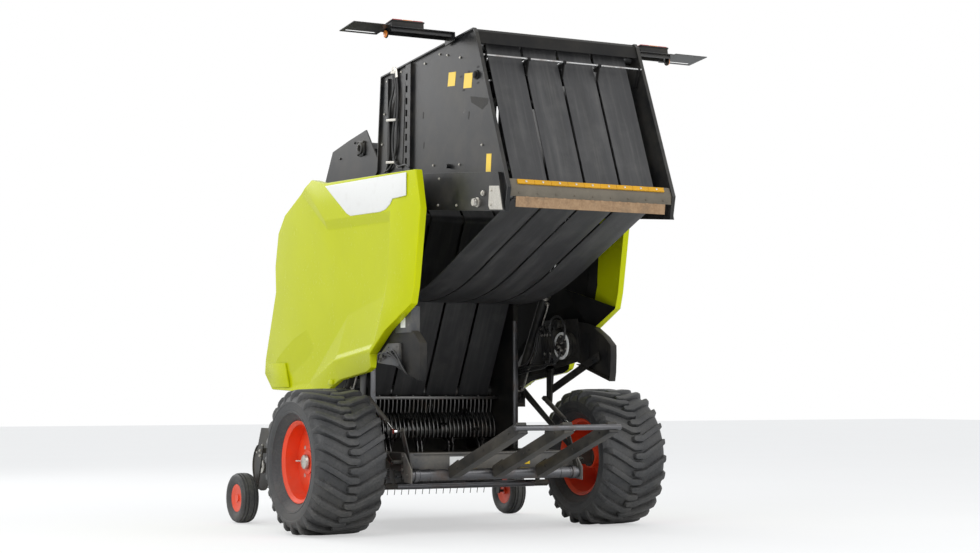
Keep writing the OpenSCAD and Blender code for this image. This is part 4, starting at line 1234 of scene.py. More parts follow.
# Faces of the plates that carry the side units, and the shape of the left and the right one
UNIT_PLATE = (0.820, 0.830)
BRACKET = [(0.72, 1.15), (0.72, 1.25), (0.30, 1.62), (-0.25, 1.62), (-0.28, 1.29), (0.30, 1.20)]
HANGER = [(0.11, 1.26), (0.23, 1.26), (0.20, 0.97), (0.14, 0.97)]
UNIT_FACE = 0.735
HOSE_PLANE = 0.7265
DRUM_AT = (-0.14, 1.41)
SLICES = 4
SLICE_PITCH = 0.042
# The oil unit's hoses: x, z and distance outward from the hoses' plane
UNIT_LINES = [
    [(-0.16, 1.435, 0), (-0.20, 1.46, 0), (-0.24, 1.53, 0), (-0.18, 1.62, 0.004), (-0.05, 1.66, 0.01),
     (0.02, 1.60, 0), (0.003, 1.51, 0)],
    [(-0.115, 1.40, 0), (-0.07, 1.36, 0), (-0.05, 1.45, 0.004), (0.02, 1.56, 0.004), (0.045, 1.51, 0)],
    [(-0.15, 1.375, 0), (-0.13, 1.30, 0), (-0.03, 1.265, 0.006), (0.10, 1.26, 0.004), (0.24, 1.27, 0),
     (0.34, 1.25, -0.008), (0.395, 1.24, -0.020), (0.50, 1.222, -0.021), (0.655, 1.222, -0.021)],
    [(0.087, 1.50, 0), (0.10, 1.57, 0), (0.17, 1.58, 0.004), (0.23, 1.47, 0.004), (0.27, 1.35, 0),
     (0.345, 1.272, -0.009), (0.40, 1.258, -0.020), (0.50, 1.240, -0.021), (0.655, 1.240, -0.021)],
    [(0.129, 1.50, 0), (0.15, 1.545, 0), (0.195, 1.53, 0.004), (0.215, 1.42, 0.004), (0.25, 1.30, 0.004),
     (0.335, 1.232, -0.008), (0.395, 1.222, -0.020), (0.50, 1.204, -0.021), (0.655, 1.204, -0.021)],
    [(0.003, 1.35, 0), (0.0, 1.29, 0.002), (0.09, 1.235, 0.006), (0.24, 1.232, 0.002), (0.34, 1.214, -0.008),
     (0.395, 1.204, -0.020), (0.50, 1.186, -0.021), (0.655, 1.186, -0.021)],
]


def bearing(name, at, y, size=0.06):
    """A flanged bearing on a left side face: a four-eared housing, its ring and bolts."""
    x, z = at
    corners = ((1, 0.72), (0.72, 1), (-0.72, 1), (-1, 0.72), (-1, -0.72), (-0.72, -1), (0.72, -1), (1, -0.72))
    ears = cut_plate(name + "_ears", [(x + size * c, z + size * s) for c, s in corners], y, y + 0.012, 0.003)
    ring = spun(name + "_ring", [(0.4 * size, y), (0.82 * size, y + 0.01), (0.74 * size, y + 0.026),
                                 (0.5 * size, y + 0.028), (0.4 * size, y + 0.022)], at, 32)
    heads = side_bolts(name + "_bolts", [(x + size * 0.78 * c, z + size * 0.78 * s) for c in (-1, 1)
                                         for s in (-1, 1)],
                       y + 0.012, 0.009)
    return join([ears, ring, heads], name)


def wall_parts():
    """Roller bearings, stiffeners and bolts on the fixed side walls."""
    y = WALL_OUT
    parts = [bearing("low_bearing", (0.80, 1.06), y), bearing("top_bearing", (0.62, 2.96), y),
             bearing("nose_bearing", (1.29, 2.05), y), bearing("arm_bearing", (0.88, 2.32), y, 0.07)]
    parts.append(ring_plate("rotor_flange", ROTOR_AT, 0.095, 0.027, y, y + 0.012, 48))
    parts.append(side_bolts("rotor_bolts", arc(ROTOR_AT, 0.078, 0, 315, 7), y + 0.012, 0.009))
    parts.append(side_bolts("rail_bolts", [(0.47, z) for z in (0.70, 0.95, 1.20, 1.75, 2.05, 2.35)], y,
                            0.009))
    fit(parts, "wall_bearings", "frame_paint", "root", both=True)
    ribs = [cut_plate("wall_rib_1", [(0.95, 1.30), (0.98, 1.30), (1.12, 2.60), (1.09, 2.60)], y, y + 0.03,
                      0.004),
            cut_plate("wall_rib_2", [(0.50, 1.52), (1.48, 1.44), (1.485, 1.475), (0.50, 1.555)], y, y + 0.028,
                      0.004),
            cut_plate("wall_rib_3", [(0.50, 2.66), (1.40, 2.58), (1.40, 2.61), (0.50, 2.69)], y, y + 0.025,
                      0.004)]
    heads = side_bolts("wall_bolts", [(1.42, 1.20), (1.47, 1.60), (1.50, 1.95), (1.46, 2.35), (1.25, 2.70),
                                      (1.02, 2.92), (0.75, 3.02)], y, 0.010)
    fit(ribs + [heads], "wall_ribs", "dark_paint", "root", both=True)
    edge = block("worn_edge", (0.3865, 0.3905), (0.616, 0.656), (0.62, 1.62), 0.0012)
    strip = block("worn_strip", (0.389, 0.402), (0.6125, 0.6155), (0.62, 1.62), 0.001)
    fit([edge, strip], "worn_edges", "tube_steel", "root", both=True)


def oil_unit_parts():
    """The oil unit behind the right hood, with its hoses."""
    # Drawn on the left, then moved across: the gate's sheets pass between these parts and the wall
    face, back = UNIT_FACE, UNIT_PLATE[0]
    valve = block("valve_block", (-0.02, 0.16), (face, back), (1.30, 1.54), 0.005)
    slices = [block(f"valve_slice_{i}", (-0.014 + i * SLICE_PITCH, 0.020 + i * SLICE_PITCH),
                    (face - 0.010, face + 0.01), (1.315, 1.525), 0.003) for i in range(SLICES)]
    coils = [rod_between(f"coil_{i}_{k}", spot(0.003 + i * SLICE_PITCH, 0.765, z),
                         spot(0.003 + i * SLICE_PITCH, 0.765, z + 0.05), 0.016, 20, 0.002)
             for i in range(SLICES) for k, z in enumerate((1.53, 1.26))]
    drum = spun("oil_drum", [(0.001, 0.740), (0.060, 0.740), (0.066, 0.746), (0.086, 0.748), (0.092, 0.744),
                             (0.100, 0.744), (0.105, 0.750), (0.105, 0.775), (0.098, 0.778), (0.098, 0.784),
                             (0.105, 0.787), (0.105, 0.815), (0.100, 0.820), (0.001, 0.820)], DRUM_AT, 56)
    cap = spun("filler", [(0.001, 0.738), (0.030, 0.738), (0.036, 0.744), (0.036, 0.76), (0.031, 0.763),
                          (0.031, 0.770), (0.036, 0.773), (0.036, 0.820), (0.001, 0.820)], (-0.06, 1.58), 28)
    foot = cut_plate("unit_bracket", BRACKET, *UNIT_PLATE, 0.0015)
    arm = block("unit_arm", (0.64, 0.72), (WALL_OUT, back), (1.15, 1.25), 0.005)
    unit = smooth(join([valve] + slices + coils + [drum, cap, foot, arm], "oil_unit"), 40)
    place_on(swap(unit), "frame_paint", "root", "hydraulic_unit")
    gasket = spun("gasket", [(0.086, 0.7375), (0.104, 0.7375), (0.107, 0.741), (0.107, 0.747), (0.100, 0.748),
                             (0.086, 0.742)], DRUM_AT, 56)
    place_on(swap(gasket), "white_plate", "root")
    fittings = [bolt(f"drum_bolt_{i}", spot(x, 0.741, z), (0, -1, 0), 0.008)
                for i, (x, z) in enumerate(arc(DRUM_AT, 0.073, 20, 320, 5))]
    fittings += [cross_rod(f"port_{i}", at, 0.742, 0.722, 0.013, 6, 0.001)
                 for i, at in enumerate(((-0.16, 1.435), (-0.115, 1.40), (-0.15, 1.375), (0.003, 1.50),
                                         (0.045, 1.50),
                                             (0.087, 1.50), (0.129, 1.50), (0.003, 1.35), (0.087, 1.35)))]
    place_on(swap(join(fittings, "unit_fittings")), "zinc", "root")
    loops = join([hose(f"unit_hoses_{i}", [spot(x, HOSE_PLANE + dy, z) for x, z, dy in line],
                       sizes().hose_radius, 12)
                  for i, line in enumerate(UNIT_LINES)], "unit_hoses")
    place_on(swap(loops), "hose_rubber", "root")


def side_box_parts():
    """The two closed boxes behind the left hood, on their bracket."""
    face, back = UNIT_FACE, UNIT_PLATE[0]
    boxes = [cut_plate("box_bracket", BRACKET, *UNIT_PLATE, 0.0015),
             block("box_arm", (0.64, 0.72), (WALL_OUT, back), (1.15, 1.25), 0.005),
             block("rear_box", (-0.24, -0.04), (face, back), (1.40, 1.60), 0.010),
             block("front_box", (-0.02, 0.18), (face, back), (1.30, 1.54), 0.010),
             block("rear_box_seam", (-0.243, -0.037), (0.758, 0.764), (1.397, 1.603), 0.002),
             block("front_box_seam", (-0.023, 0.183), (0.758, 0.764), (1.297, 1.543), 0.002),
             cut_plate("strut_plate", HANGER, *UNIT_PLATE, 0.0015),
             cross_rod("strut_pin", STRUT_FOOT, 0.75, 0.82, 0.008, 20, 0.001)]
    heads = side_bolts("box_bolts", [(-0.26, 1.32), (-0.20, 1.60), (0.25, 1.58), (0.40, 1.28), (0.66, 1.20),
                                     (0.20, 1.24)], 0.830, 0.009)
    fit(boxes + [heads], "side_boxes_left", "frame_paint", "root", "side_boxes")


def mudguard_parts():
    """The black guards behind the side units."""
    face = [(-0.20, 1.29), (-0.77, 1.13), (-0.785, 1.20), (-0.792, 1.32), (-0.79, 1.40), (-0.70, 1.468),
            (-0.56, 1.54), (-0.38, 1.58), (-0.20, 1.60)]
    guard = cut_plate("guard_face", face, 0.8295, 0.8345, 0.002)
    rim = cut_plate("guard_rim", [(-0.30, 1.262), (-0.77, 1.13), (-0.785, 1.20), (-0.792, 1.32),
                                  (-0.79, 1.40), (-0.70, 1.468), (-0.56, 1.54), (-0.56, 1.534),
                                  (-0.698, 1.461), (-0.784, 1.397), (-0.786, 1.32), (-0.779, 1.20),
                                  (-0.765, 1.137), (-0.30, 1.267)], 0.780, 0.831, 0.001)
    ribs = [cut_plate(f"guard_rib_{i}", [(-0.28 - d, 1.33 - d * 0.25), (-0.27 - d, 1.33 - d * 0.25),
                                         (-0.27 - d, 1.55 - d * 0.35), (-0.28 - d, 1.55 - d * 0.35)], 0.824,
                      0.832, 0.001) for i, d in enumerate((0.0, 0.13, 0.26, 0.39))]
    both = with_twin(join([guard, rim] + ribs, "guards"))
    place_on(smooth(both, 40), "black_plastic", "root", "mudguards")


def control_box_parts():
    """The control box on the left guard, and the valve box with its taps and hoses."""
    box = block("control_box", (-0.655, -0.40), (0.765, 0.8395), (1.478, 1.665), 0.006)
    lid = block("control_lid", (-0.660, -0.395), (0.770, 0.8385), (1.655, 1.668), 0.003)
    foot = block("control_foot", (-0.61, -0.44), (0.790, 0.8300), (1.462, 1.482), 0.003)
    valve = cut_plate("valve_box", [(-0.50, 1.235), (-0.15, 1.265), (-0.15, 1.30), (-0.32, 1.405),
                                    (-0.50, 1.405)],
                      0.8345, 0.862, 0.004)
    tap_places = [(-0.20 - i * 0.075, 1.285 + i * 0.018) for i in range(4)]
    taps = [cross_rod(f"valve_tap_{i}", at, 0.862, 0.876, 0.014, 20, 0.002)
            for i, at in enumerate(tap_places)]
    heads = side_bolts("valve_bolts", [(-0.475, 1.262), (-0.475, 1.38), (-0.34, 1.375)], 0.862, 0.006)
    fit([box, lid, foot, valve, heads] + taps, "control_boxes", "beam_paint", "root")
    place_on(block("control_plate", (-0.565, -0.49), (0.8393, 0.8405), (1.515, 1.625), 0.0005), "white_plate",
             "root")
    lines = []
    for i, (x, z) in enumerate(tap_places):
        points = [spot(x, 0.872, z), spot(x - 0.01, 0.888, z + 0.01),
                  spot(x - 0.03, 0.890, z + 0.055 - i * 0.01),
                  spot(x - 0.09, 0.884, z + 0.045 - i * 0.02),
                  spot(-0.50 - i * 0.02, 0.868, 1.30 - i * 0.022),
                  spot(-0.53 - i * 0.02, 0.850, 1.235 - i * 0.016),
                  spot(-0.52 - i * 0.02, 0.832, 1.21 - i * 0.01)]
        lines.append(hose(f"valve_hose_{i}", points, sizes().hose_radius * 0.9, 10))
    place_on(smooth(join(lines, "valve_hoses"), 60), "hose_rubber", "root")


def guard_stay_parts():
    """The flat stay that holds the right guard, with its post."""
    a, b = Vector((0.13, 1.06)), Vector((-0.59, 1.325))
    n = Vector((-(b - a).y, (b - a).x)).normalized() * 0.032
    stay = cut_plate("guard_stay", [tuple(a - n), tuple(b - n), tuple(b + n), tuple(a + n)][::-1], 0.800,
                     0.808, 0.003)
    post = block("stay_post", (0.09, 0.17), (0.790, 0.800), (0.95, 1.22), 0.003)
    top = block("post_foot", (0.09, 0.17), (0.790, 0.822), (1.205, 1.235), 0.003)
    heads = side_bolts("stay_bolts", [(0.11, 1.067), (0.07, 1.082), (-0.55, 1.31)], 0.808, 0.010)
    inner = join([bolt(f"stay_nut_{i}", spot(x, 0.800 if i < 2 else 0.799, z), (0, -1, 0), 0.010)
                  for i, (x, z) in enumerate(((-0.50, 1.292), (-0.56, 1.314)))], "stay_nuts")
    place_on(swap(smooth(join([stay, post, top, heads, inner], "guard_stay"), 40)), "frame_paint", "root")


def build_side_units():
    wall_parts()
    oil_unit_parts()
    side_box_parts()
    mudguard_parts()
    control_box_parts()
    guard_stay_parts()


# Ramp and cross beams

RAMP_AT = (-0.4, 0.44)
RAMP_END = (-1.45, 0.80)
RAMP_PITCH = 0.375
KNIFE_PITCH = 0.08
LOW_BAR = (0.05, 0.34)
STRUT_FOOT = (0.17, 1.0)
STRUT_TIP = (-0.27, 0.76)
STRUT_Y = 0.775


def ramp_parts():
    """The bale ramp: its bright tube with collars, three box arms, the end tube and the strut's lever."""
    x, z = RAMP_AT
    tube = spun("ramp_tube", [(0.02005, -0.72), (0.0425, -0.72), (0.0425, -0.690), (0.0505, -0.690),
                              (0.0505, -0.660), (0.0425, -0.660), (0.0425, 0.660), (0.0505, 0.660),
                              (0.0505, 0.690), (0.0425, 0.690), (0.0425, 0.72), (0.02005, 0.72)], RAMP_AT, 48)
    rings = [ring_plate(f"tube_ring_{i}", RAMP_AT, 0.0465, 0.042, y - 0.004, y + 0.004) for i, y in
             enumerate((-0.645, -0.56, 0.56, 0.645))]
    end = cross_rod("end_tube", RAMP_END, -0.435, 0.435, 0.020, 32, 0.002)
    fit([tube, end] + rings, "ramp_tubes", "tube_steel", "ramp", "ramp")
    along = Vector((RAMP_END[0] - x, 0, RAMP_END[1] - z)).normalized()
    across = Vector((-along.z, 0, along.x)) * 0.042
    parts = []
    for i in (-1, 0, 1):
        a, b = spot(x, 0, z) + along * 0.035, spot(RAMP_END[0], 0, RAMP_END[1])
        corners = [a - across, b - across, b + across, a + across]
        arm = cut_plate(f"arm_{i}", [(c.x + MID_X, c.z) for c in corners], i * RAMP_PITCH - 0.04,
                        i * RAMP_PITCH + 0.04, 0.006, 3)
        for k in (-1, 1):
            toe, middle = a + along * 0.16, i * RAMP_PITCH + k * 0.03
            corners = [a - across * 0.9, toe - across * 0.98, toe - across * 1.3, a - across * 1.15]
            parts.append(cut_plate(f"web_{i}_{k}", [(c.x + MID_X, c.z) for c in corners], middle - 0.004,
                                   middle + 0.004, 0.001))
        parts.append(arm)
        for t in (0.18, 0.60, 0.98):
            at = spot(x, i * RAMP_PITCH + 0.04, z) + along * t
            parts.append(bolt(f"arm_bolt_{i}_{t}", at, (0, 1, 0), 0.009))
    lever = cut_plate("lever", [(x - 0.03, z + 0.052), (x + 0.03, z + 0.052), (-0.244, 0.76), (-0.252, 0.779),
                                (-0.27, 0.786), (-0.288, 0.779), (-0.296, 0.76)], 0.7072, 0.7168, 0.0015)
    foot = block("lever_foot", (x - 0.03, x + 0.03), (0.7071, 0.7169), (z + 0.03, z + 0.06), 0.0015)
    pin = cross_rod("lever_pin", STRUT_TIP, 0.717, 0.755, 0.010, 20, 0.001)
    levers = with_twin(join([lever, foot, pin], "ramp_levers"))
    fit(parts + [levers], "ramp_arms", "frame_paint", "ramp", "ramp")


def beam_parts():
    """The rear cross beam with its bearing plates, blank plates and the knives' bolts under the floor."""
    parts = [block("cross_beam", (-0.35, -0.30), (-0.70, 0.70), (0.45, 0.60), 0.004)]
    ear = cut_plate("bearing_plate", [(-0.30, 0.60), (-0.35, 0.60), (-0.46, 0.48), (-0.46, 0.38),
                                      (-0.35, 0.39), (-0.30, 0.45)], 0.725, 0.737, 0.002)
    side = block("beam_end", (-0.35, -0.30), (0.70, 0.737), (0.45, 0.53), 0.002)
    pin = cross_rod("tube_pin", RAMP_AT, 0.660, 0.7252, 0.020, 24)
    heads = side_bolts("ear_bolts", [(-0.325, 0.575), (-0.325, 0.48), RAMP_AT], 0.737, 0.012)
    parts.append(with_twin(join([ear, side, pin, heads], "beam_ears")))
    for i in range(-3, 4):
        parts.append(bolt(f"beam_bolt_{i}", spot(-0.35, i * 0.21 + 0.05, 0.475), (-1, 0, 0), 0.010))
    for y in (-0.50, -0.17, 0.17, 0.50):
        parts.append(cut_plate(f"beam_gusset_{y}", [(-0.30, 0.46), (-0.30, 0.59), (-0.22, 0.46)], y - 0.004,
                               y + 0.004, 0.001))
    parts.append(block("beam_flange", (-0.36, -0.345), (-0.66, 0.66), (0.588, 0.600), 0.002))
    fit(parts, "rear_cross_beam", "beam_paint", "root", "rear_beam")
    face = (-0.3525, -0.3495)
    place_on(block("blank_pale_plate", face, (0.24, 0.36), (0.50, 0.57), 0.0008), "white_plate", "root")
    yellow = [block(f"small_plate_{y}", face, (y, y + 0.07), (0.505, 0.57), 0.0008) for y in (0.13, -0.33)]
    place_on(join(yellow, "blank_yellow_plates"), "yellow_plate", "root")
    knives = []
    for i in range(14):
        y = i * KNIFE_PITCH - 0.52
        knives.append(bolt(f"knife_bolt_{i}", spot(0.58, y, 0.375), (-1, 0, 0), 0.011))
        knives.append(rod_between(f"knife_spring_{i}", spot(0.50, y, 0.39), spot(0.575, y, 0.375), 0.009, 12,
                                  0.001))
        knives.append(bolt(f"floor_bolt_{i}", spot(0.46, y, 0.4455), (-0.25, 0, -1), 0.010))
    bar = cross_rod("low_bar_sleeve", LOW_BAR, -0.60, 0.60, 0.0265, 32, 0.001)
    nuts = [bolt(f"low_bar_nut_{side}", spot(LOW_BAR[0], side * 0.72, LOW_BAR[1]), (0, side, 0), 0.018)
            for side in (-1, 1)]
    fit(knives + [bar] + nuts, "knife_bolts", "tube_steel", "root")


def strut_parts():
    """The ramp's strut on both sides: its case, gland and rings, the right hanger and the frame's braces."""
    base, tip = (spot(x, STRUT_Y, z) for x, z in (STRUT_FOOT, STRUT_TIP))
    run, length = (tip - base).normalized(), (tip - base).length
    parts = [rod_between("strut_case", base + run * 0.012, base + run * (length - 0.138), 0.019, 28, 0.002),
             rod_between("strut_gland", base + run * 0.335, base + run * 0.352, 0.0195, 28, 0.001),
             cross_rod("strut_foot", STRUT_FOOT, STRUT_Y - 0.012, STRUT_Y + 0.012, 0.020, 28, 0.002),
             rod_between("strut_band", base + run * 0.04, base + run * 0.052, 0.0205, 28, 0.001)]
    case = smooth(join(parts, "strut_case"), 40)
    place_on(mirrored(case, "strut_case_right"), "frame_paint", "strut_barrel")
    place_on(case, "frame_paint", "strut_barrel", "strut_barrel")
    eye = cross_rod("strut_tip", STRUT_TIP, STRUT_Y - 0.012, STRUT_Y + 0.012, 0.018, 28, 0.002)
    rod = rod_between("strut_bar", base + run * 0.06, base + run * (length - 0.012), 0.009, 24, 0.001)
    place_on(swap(smooth(join([eye, rod], "strut_rod_right"), 40)), "chrome", "strut_rod")
    hanger = cut_plate("strut_hanger", HANGER, *UNIT_PLATE, 0.002)
    pin = cross_rod("strut_pin", STRUT_FOOT, 0.75, 0.822, 0.008, 20, 0.001)
    place_on(swap(smooth(join([hanger, pin], "strut_hanger"), 40)), "frame_paint", "root")
    brace = cut_plate("frame_brace", [(-0.345, 0.530), (-0.300, 0.515), (0.60, 1.035), (0.60, 1.075),
                                      (0.555, 1.085)],
                      0.8125, 0.8205, 0.002)
    spacer = cross_rod("brace_spacer", (-0.318, 0.537), 0.7365, 0.8130, 0.014, 24, 0.001)
    ends = side_bolts("brace_bolts", [(-0.318, 0.537), (0.578, 1.058)], 0.8205, 0.010)
    fit([brace, spacer, ends], "frame_braces", "frame_paint", "root", both=True)


def build_ramp():
    ramp_parts()
    beam_parts()
    strut_parts()


# Tailgate cylinders

CYL_BASE = (0.6, 1.02)
CYL_EYE = (0.298, 2.13)
CYL_Y = 0.757
GLAND_BACK = 0.19
PORT_LOW = 0.10
PORT_TOP = 0.08


def build_cylinders():
    """Glands, ports and pipes on the two cylinders that lift the tailgate."""
    eye = opened(*CYL_EYE)
    base = spot(CYL_BASE[0], CYL_Y, CYL_BASE[1])
    run = (spot(eye[0], CYL_Y, eye[1]) - base).normalized()
    short = math.dist(CYL_EYE, CYL_BASE)
    top = short - GLAND_BACK
    side = run.cross(Vector((0, 1, 0))).normalized()
    for name in ("left", "right"):
        parts = [rod_between("gland", base + run * (top - 0.05), base + run * (top - 0.001), 0.0418, 36,
                             0.003),
                 rod_between("gland_ring", base + run * (top - 0.058), base + run * (top - 0.052), 0.0405, 36,
                             0.001),
                 rod_between("foot_ring", base + run * 0.06, base + run * 0.075, 0.0415, 36, 0.002)]
        for t in (PORT_LOW, top - PORT_TOP):
            port = base + run * t + side * 0.036
            parts.append(rod_between(f"port_{t:.2f}", port, port + side * 0.024, 0.014, 16, 0.001))
            parts.append(rod_between(f"port_nut_{t:.2f}", port + side * 0.018, port + side * 0.034, 0.017, 6,
                                     0.001))
        first, second = (base + run * t + side * 0.066 for t in (PORT_LOW, top - PORT_TOP))
        pipe = hose("port_pipe", [first, first + side * 0.012 + run * 0.015,
                                  first + side * 0.004 + run * 0.08,
                                  second + side * 0.004 - run * 0.10, second + side * 0.012 - run * 0.015,
                                  second],
                    0.007, 12)
        whole = smooth(join(parts + [pipe], f"cylinder_fittings_{name}"), 40)
        place_on(whole if name == "left" else swap(whole), "zinc", f"barrel_{name}")


# Front

JACK_X = 2.70
JACK_Y = 0.14
CRANK_Z = 1.022
EYE_AT = (3.63, 0, 0.48)


def drawbar_parts():
    """Bolts along the drawbar, the towing eye's wear ring and the parking jack's crank."""
    parts = []
    for i, (x, z) in enumerate(((1.66, 1.07), (1.66, 1.12), (1.90, 1.01), (2.10, 0.96), (2.62, 0.70),
                                (2.62, 0.76), (2.78, 0.70), (2.78, 0.76))):
        parts.append(bolt(f"bar_bolt_{i}", spot(x, 0.075 if x < 2.5 else 0.100, z), (0, 1, 0), 0.013))
    for y in (-0.065, 0.065):
        for z in (0.41, 0.55):
            parts.append(bolt(f"eye_bolt_{y}_{z}", spot(3.285, y, z), (1, 0, 0), 0.014))
    parts.append(ring_plate_flat("eye_ring", spot(*EYE_AT), 0.055, 0.026, 0.0235))
    parts.append(block("crank_head", (2.675, 2.725), (0.115, 0.165), (0.968, 0.990), 0.004))
    parts.append(rod_between("crank_shaft", spot(JACK_X, JACK_Y, 0.985), spot(JACK_X, JACK_Y, 1.03), 0.012,
                             20, 0.001))
    parts.append(rod_between("crank_arm", spot(JACK_X, JACK_Y, CRANK_Z), spot(2.58, JACK_Y, CRANK_Z), 0.010,
                             16, 0.001))
    for z, size in ((0.72, 0.012), (0.42, 0.010)):
        parts.append(bolt(f"clamp_bolt_{z}", spot(2.738, JACK_Y, z), (1, 0, 0), size))
    fit(parts, "drawbar_bolts", "zinc", "root")
    grip = spun_at("crank_grip", spot(2.585, JACK_Y, CRANK_Z), [(0.0, 0.0), (0.014, 0.002), (0.018, 0.03),
                                                                (0.016, 0.08), (0.012, 0.098), (0.0, 0.10)])
    place_on(smooth(grip, 40), "black_plastic", "root")


def ring_plate_flat(name, centre, outer, inner, half):
    """A flat ring that lies level, for the wear face of the towing eye."""
    obj = start("circle", name, vertices=4, fill_type="NOTHING")
    for vert, (radius, z) in zip(obj.data.vertices, ((inner, -half), (outer, -half), (outer, half),
                                                     (inner, half))):
        vert.co = centre + Vector((radius, 0, z))
    settle(obj)
    editing(obj)
    bpy.ops.mesh.spin(steps=40, angle=math.tau, center=centre, axis=(0, 0, 1))
    face_out(obj)
    return obj


def spun_at(name, foot, profile):
    """A grip or boot turned about an upright line, from (radius, height) pairs."""
    obj = start("circle", name, vertices=len(profile), fill_type="NOTHING")
    for vert, (radius, z) in zip(obj.data.vertices, profile):
        vert.co = foot + Vector((radius + 1e-4, 0, z))
    settle(obj)
    editing(obj)
    bpy.ops.mesh.spin(steps=24, angle=math.tau, center=foot, axis=(0, 0, 1))
    face_out(obj)
    return smooth(obj)


def shaft_parts():
    """Rings on the drive shaft's guard and the gearbox's ribs, bolts and plugs."""
    back = spot(2.175, 0, 1.268)
    run = Vector((1.0, 0, -0.452)).normalized()
    rings = []
    for t, radius in ((0.015, 0.0545), (0.05, 0.0545), (0.085, 0.0545), (0.12, 0.0545), (0.50, 0.0545),
                      (0.56, 0.0445), (0.60, 0.0445), (0.98, 0.0445), (1.02, 0.0445)):
        rings.append(rod_between(f"guard_ring_{t}", back + run * t, back + run * (t + 0.012), radius, 32,
                                 0.002))
    fit(rings, "shaft_rings", "black_plastic", "root")
    parts = [block(f"box_rib_{i}", (1.86 + i * 0.035, 1.868 + i * 0.035), (-0.116, 0.116), (1.145, 1.395),
                   0.002)
             for i in range(5)]
    for y in (-0.13, 0.13):
        for z in (1.14, 1.27, 1.40):
            parts.append(bolt(f"flange_bolt_{y}_{z}", spot(1.85, y, z), (1, 0, 0), 0.012))
    for i in range(6):
        a = math.tau * i / 6
        parts.append(bolt(f"nose_bolt_{i}", spot(2.05, 0.095 * math.cos(a), 1.27 + 0.095 * math.sin(a)),
                          (1, 0, 0), 0.009))
    parts.append(rod_between("oil_plug", spot(1.95, 0, 1.388), spot(1.95, 0, 1.412), 0.018, 6, 0.002))
    fit(parts, "gearbox_parts", "frame_paint", "root")


def front_cover_parts():
    """Doors, handles and bolts on the front cover."""
    doors = []
    for y0, y1 in ((-0.56, -0.02), (0.02, 0.56)):
        doors.append(block(f"front_door_{y0}", (1.828, 1.838), (y0, y1), (1.48, 2.11), 0.004))
        for z in (1.58, 1.66, 1.74):
            doors.append(block(f"louvre_{y0}_{z}", (1.836, 1.846), (y0 + 0.12, y1 - 0.12), (z, z + 0.018),
                               0.004))
    doors.append(block("cover_sill", (1.60, 1.84), (-0.60, 0.60), (1.43, 1.445), 0.003))
    fit(doors, "front_doors", "dark_paint", "root")
    small = []
    for y in (-0.07, 0.07):
        small.append(block(f"door_handle_{y}", (1.838, 1.856), (y - 0.012, y + 0.012), (1.86, 1.96), 0.005))
    for y in (-0.54, 0.54):
        for z in (1.55, 2.04):
            small.append(rod_between(f"door_hinge_{y}_{z}", spot(1.842, y, z - 0.035),
                                     spot(1.842, y, z + 0.035), 0.009, 16, 0.001))
    for y, z in ((-0.57, 1.40), (-0.29, 1.40), (0.02, 2.13), (0.29, 1.40), (0.57, 1.40)):
        small.append(bolt(f"cover_bolt_{y}", spot(1.832, y, z), (1, 0, 0), 0.010))
    fit(small, "door_fittings", "zinc", "root")


def build_front():
    drawbar_parts()
    shaft_parts()
    front_cover_parts()


# Pick-up

REEL_AT = (1.53, 0.45)
BAND_R = 0.175
BAND_PITCH = 0.066
BAND_COUNT = 32


PICKUP_HALF = BAND_COUNT * BAND_PITCH / 2


def stripper_parts():
    """The bands that wrap round the reel, and their bolts."""
    w = PICKUP_HALF
    outline = arc(REEL_AT, BAND_R, -100, 90, 20) + [(1.2753, 0.700), (1.2753, 0.697)]
    outline += arc(REEL_AT, BAND_R - 0.004, 90, -100, 20)
    band = cut_plate("stripper", outline, -w + 0.010, -w + 0.010 + BAND_PITCH - 0.020)
    bands = repeated(smooth(band, 30), "strippers", [(0, i * BAND_PITCH, 0) for i in range(BAND_COUNT)])
    heads = [bolt(f"stripper_bolt_{i}", spot(1.292, (i + 0.5) * BAND_PITCH - w, 0.6985), (0, 0, 1), 0.006)
             for i in range(BAND_COUNT)]
    place_on(join([bands] + heads, "stripper_bands"), "band_steel", "pickup", "stripper_bands")


def tine_reel_parts():
    """The reel: its tube and four bars of spring tines."""
    w = PICKUP_HALF
    x, z = REEL_AT
    parts = [spun("reel_tube", [(0.02205, 0.022 - w), (0.04, 0.004 - w), (0.04, w - 0.004),
                                (0.02205, w - 0.022)],
                  REEL_AT, 36)]
    # One spring tine drawn ahead of the shaft, with the coil that holds it on its bar
    wire = [(0.012, 0.095), (0.004, 0.120), (-0.003, 0.150), (-0.006, 0.185), (-0.013, 0.225),
            (-0.024, 0.2615)]
    tine = hose("spring_tine", [spot(x + a, 0, z + b) for a, b in wire], sizes().tine_radius, 8)
    coil = ring_plate("coil", (x, z + 0.095), 0.0195, 0.0119, -0.011, 0.011, 12)
    single = join([tine, coil], "spring_tine")
    arm = cut_plate("reel_arm", [(x - 0.015, z + 0.03), (x + 0.015, z + 0.03), (x + 0.015, z + 0.095),
                                 (x - 0.015, z + 0.095)], 0, 0.008, 0.002)
    bar = rod_between("tine_bar", spot(x, 0.008 - w, z + 0.095), spot(x, w - 0.008, z + 0.095), 0.012, 16)
    centre = Matrix.Translation(spot(x, 0, z))
    for quarter in range(4):
        turn = centre @ Matrix.Rotation(math.radians(90 * quarter), 4, "Y") @ centre.inverted()
        parts.append(copy_of(bar, f"bar_{quarter}", turn))
        for i in range(1, BAND_COUNT):
            parts.append(copy_of(single, f"tine_{quarter}_{i}",
                                 Matrix.Translation((0, i * BAND_PITCH - w, 0)) @ turn))
        for i in range(5):
            parts.append(copy_of(arm, f"arm_{quarter}_{i}",
                                 Matrix.Translation((0, -w + 0.020 + i * (w - 0.024) / 2, 0)) @ turn))
    for spare in (single, arm, bar):
        bpy.data.objects.remove(spare)
    fit(parts, "tine_reel", "band_steel", "pickup_reel", "pickup_reel")


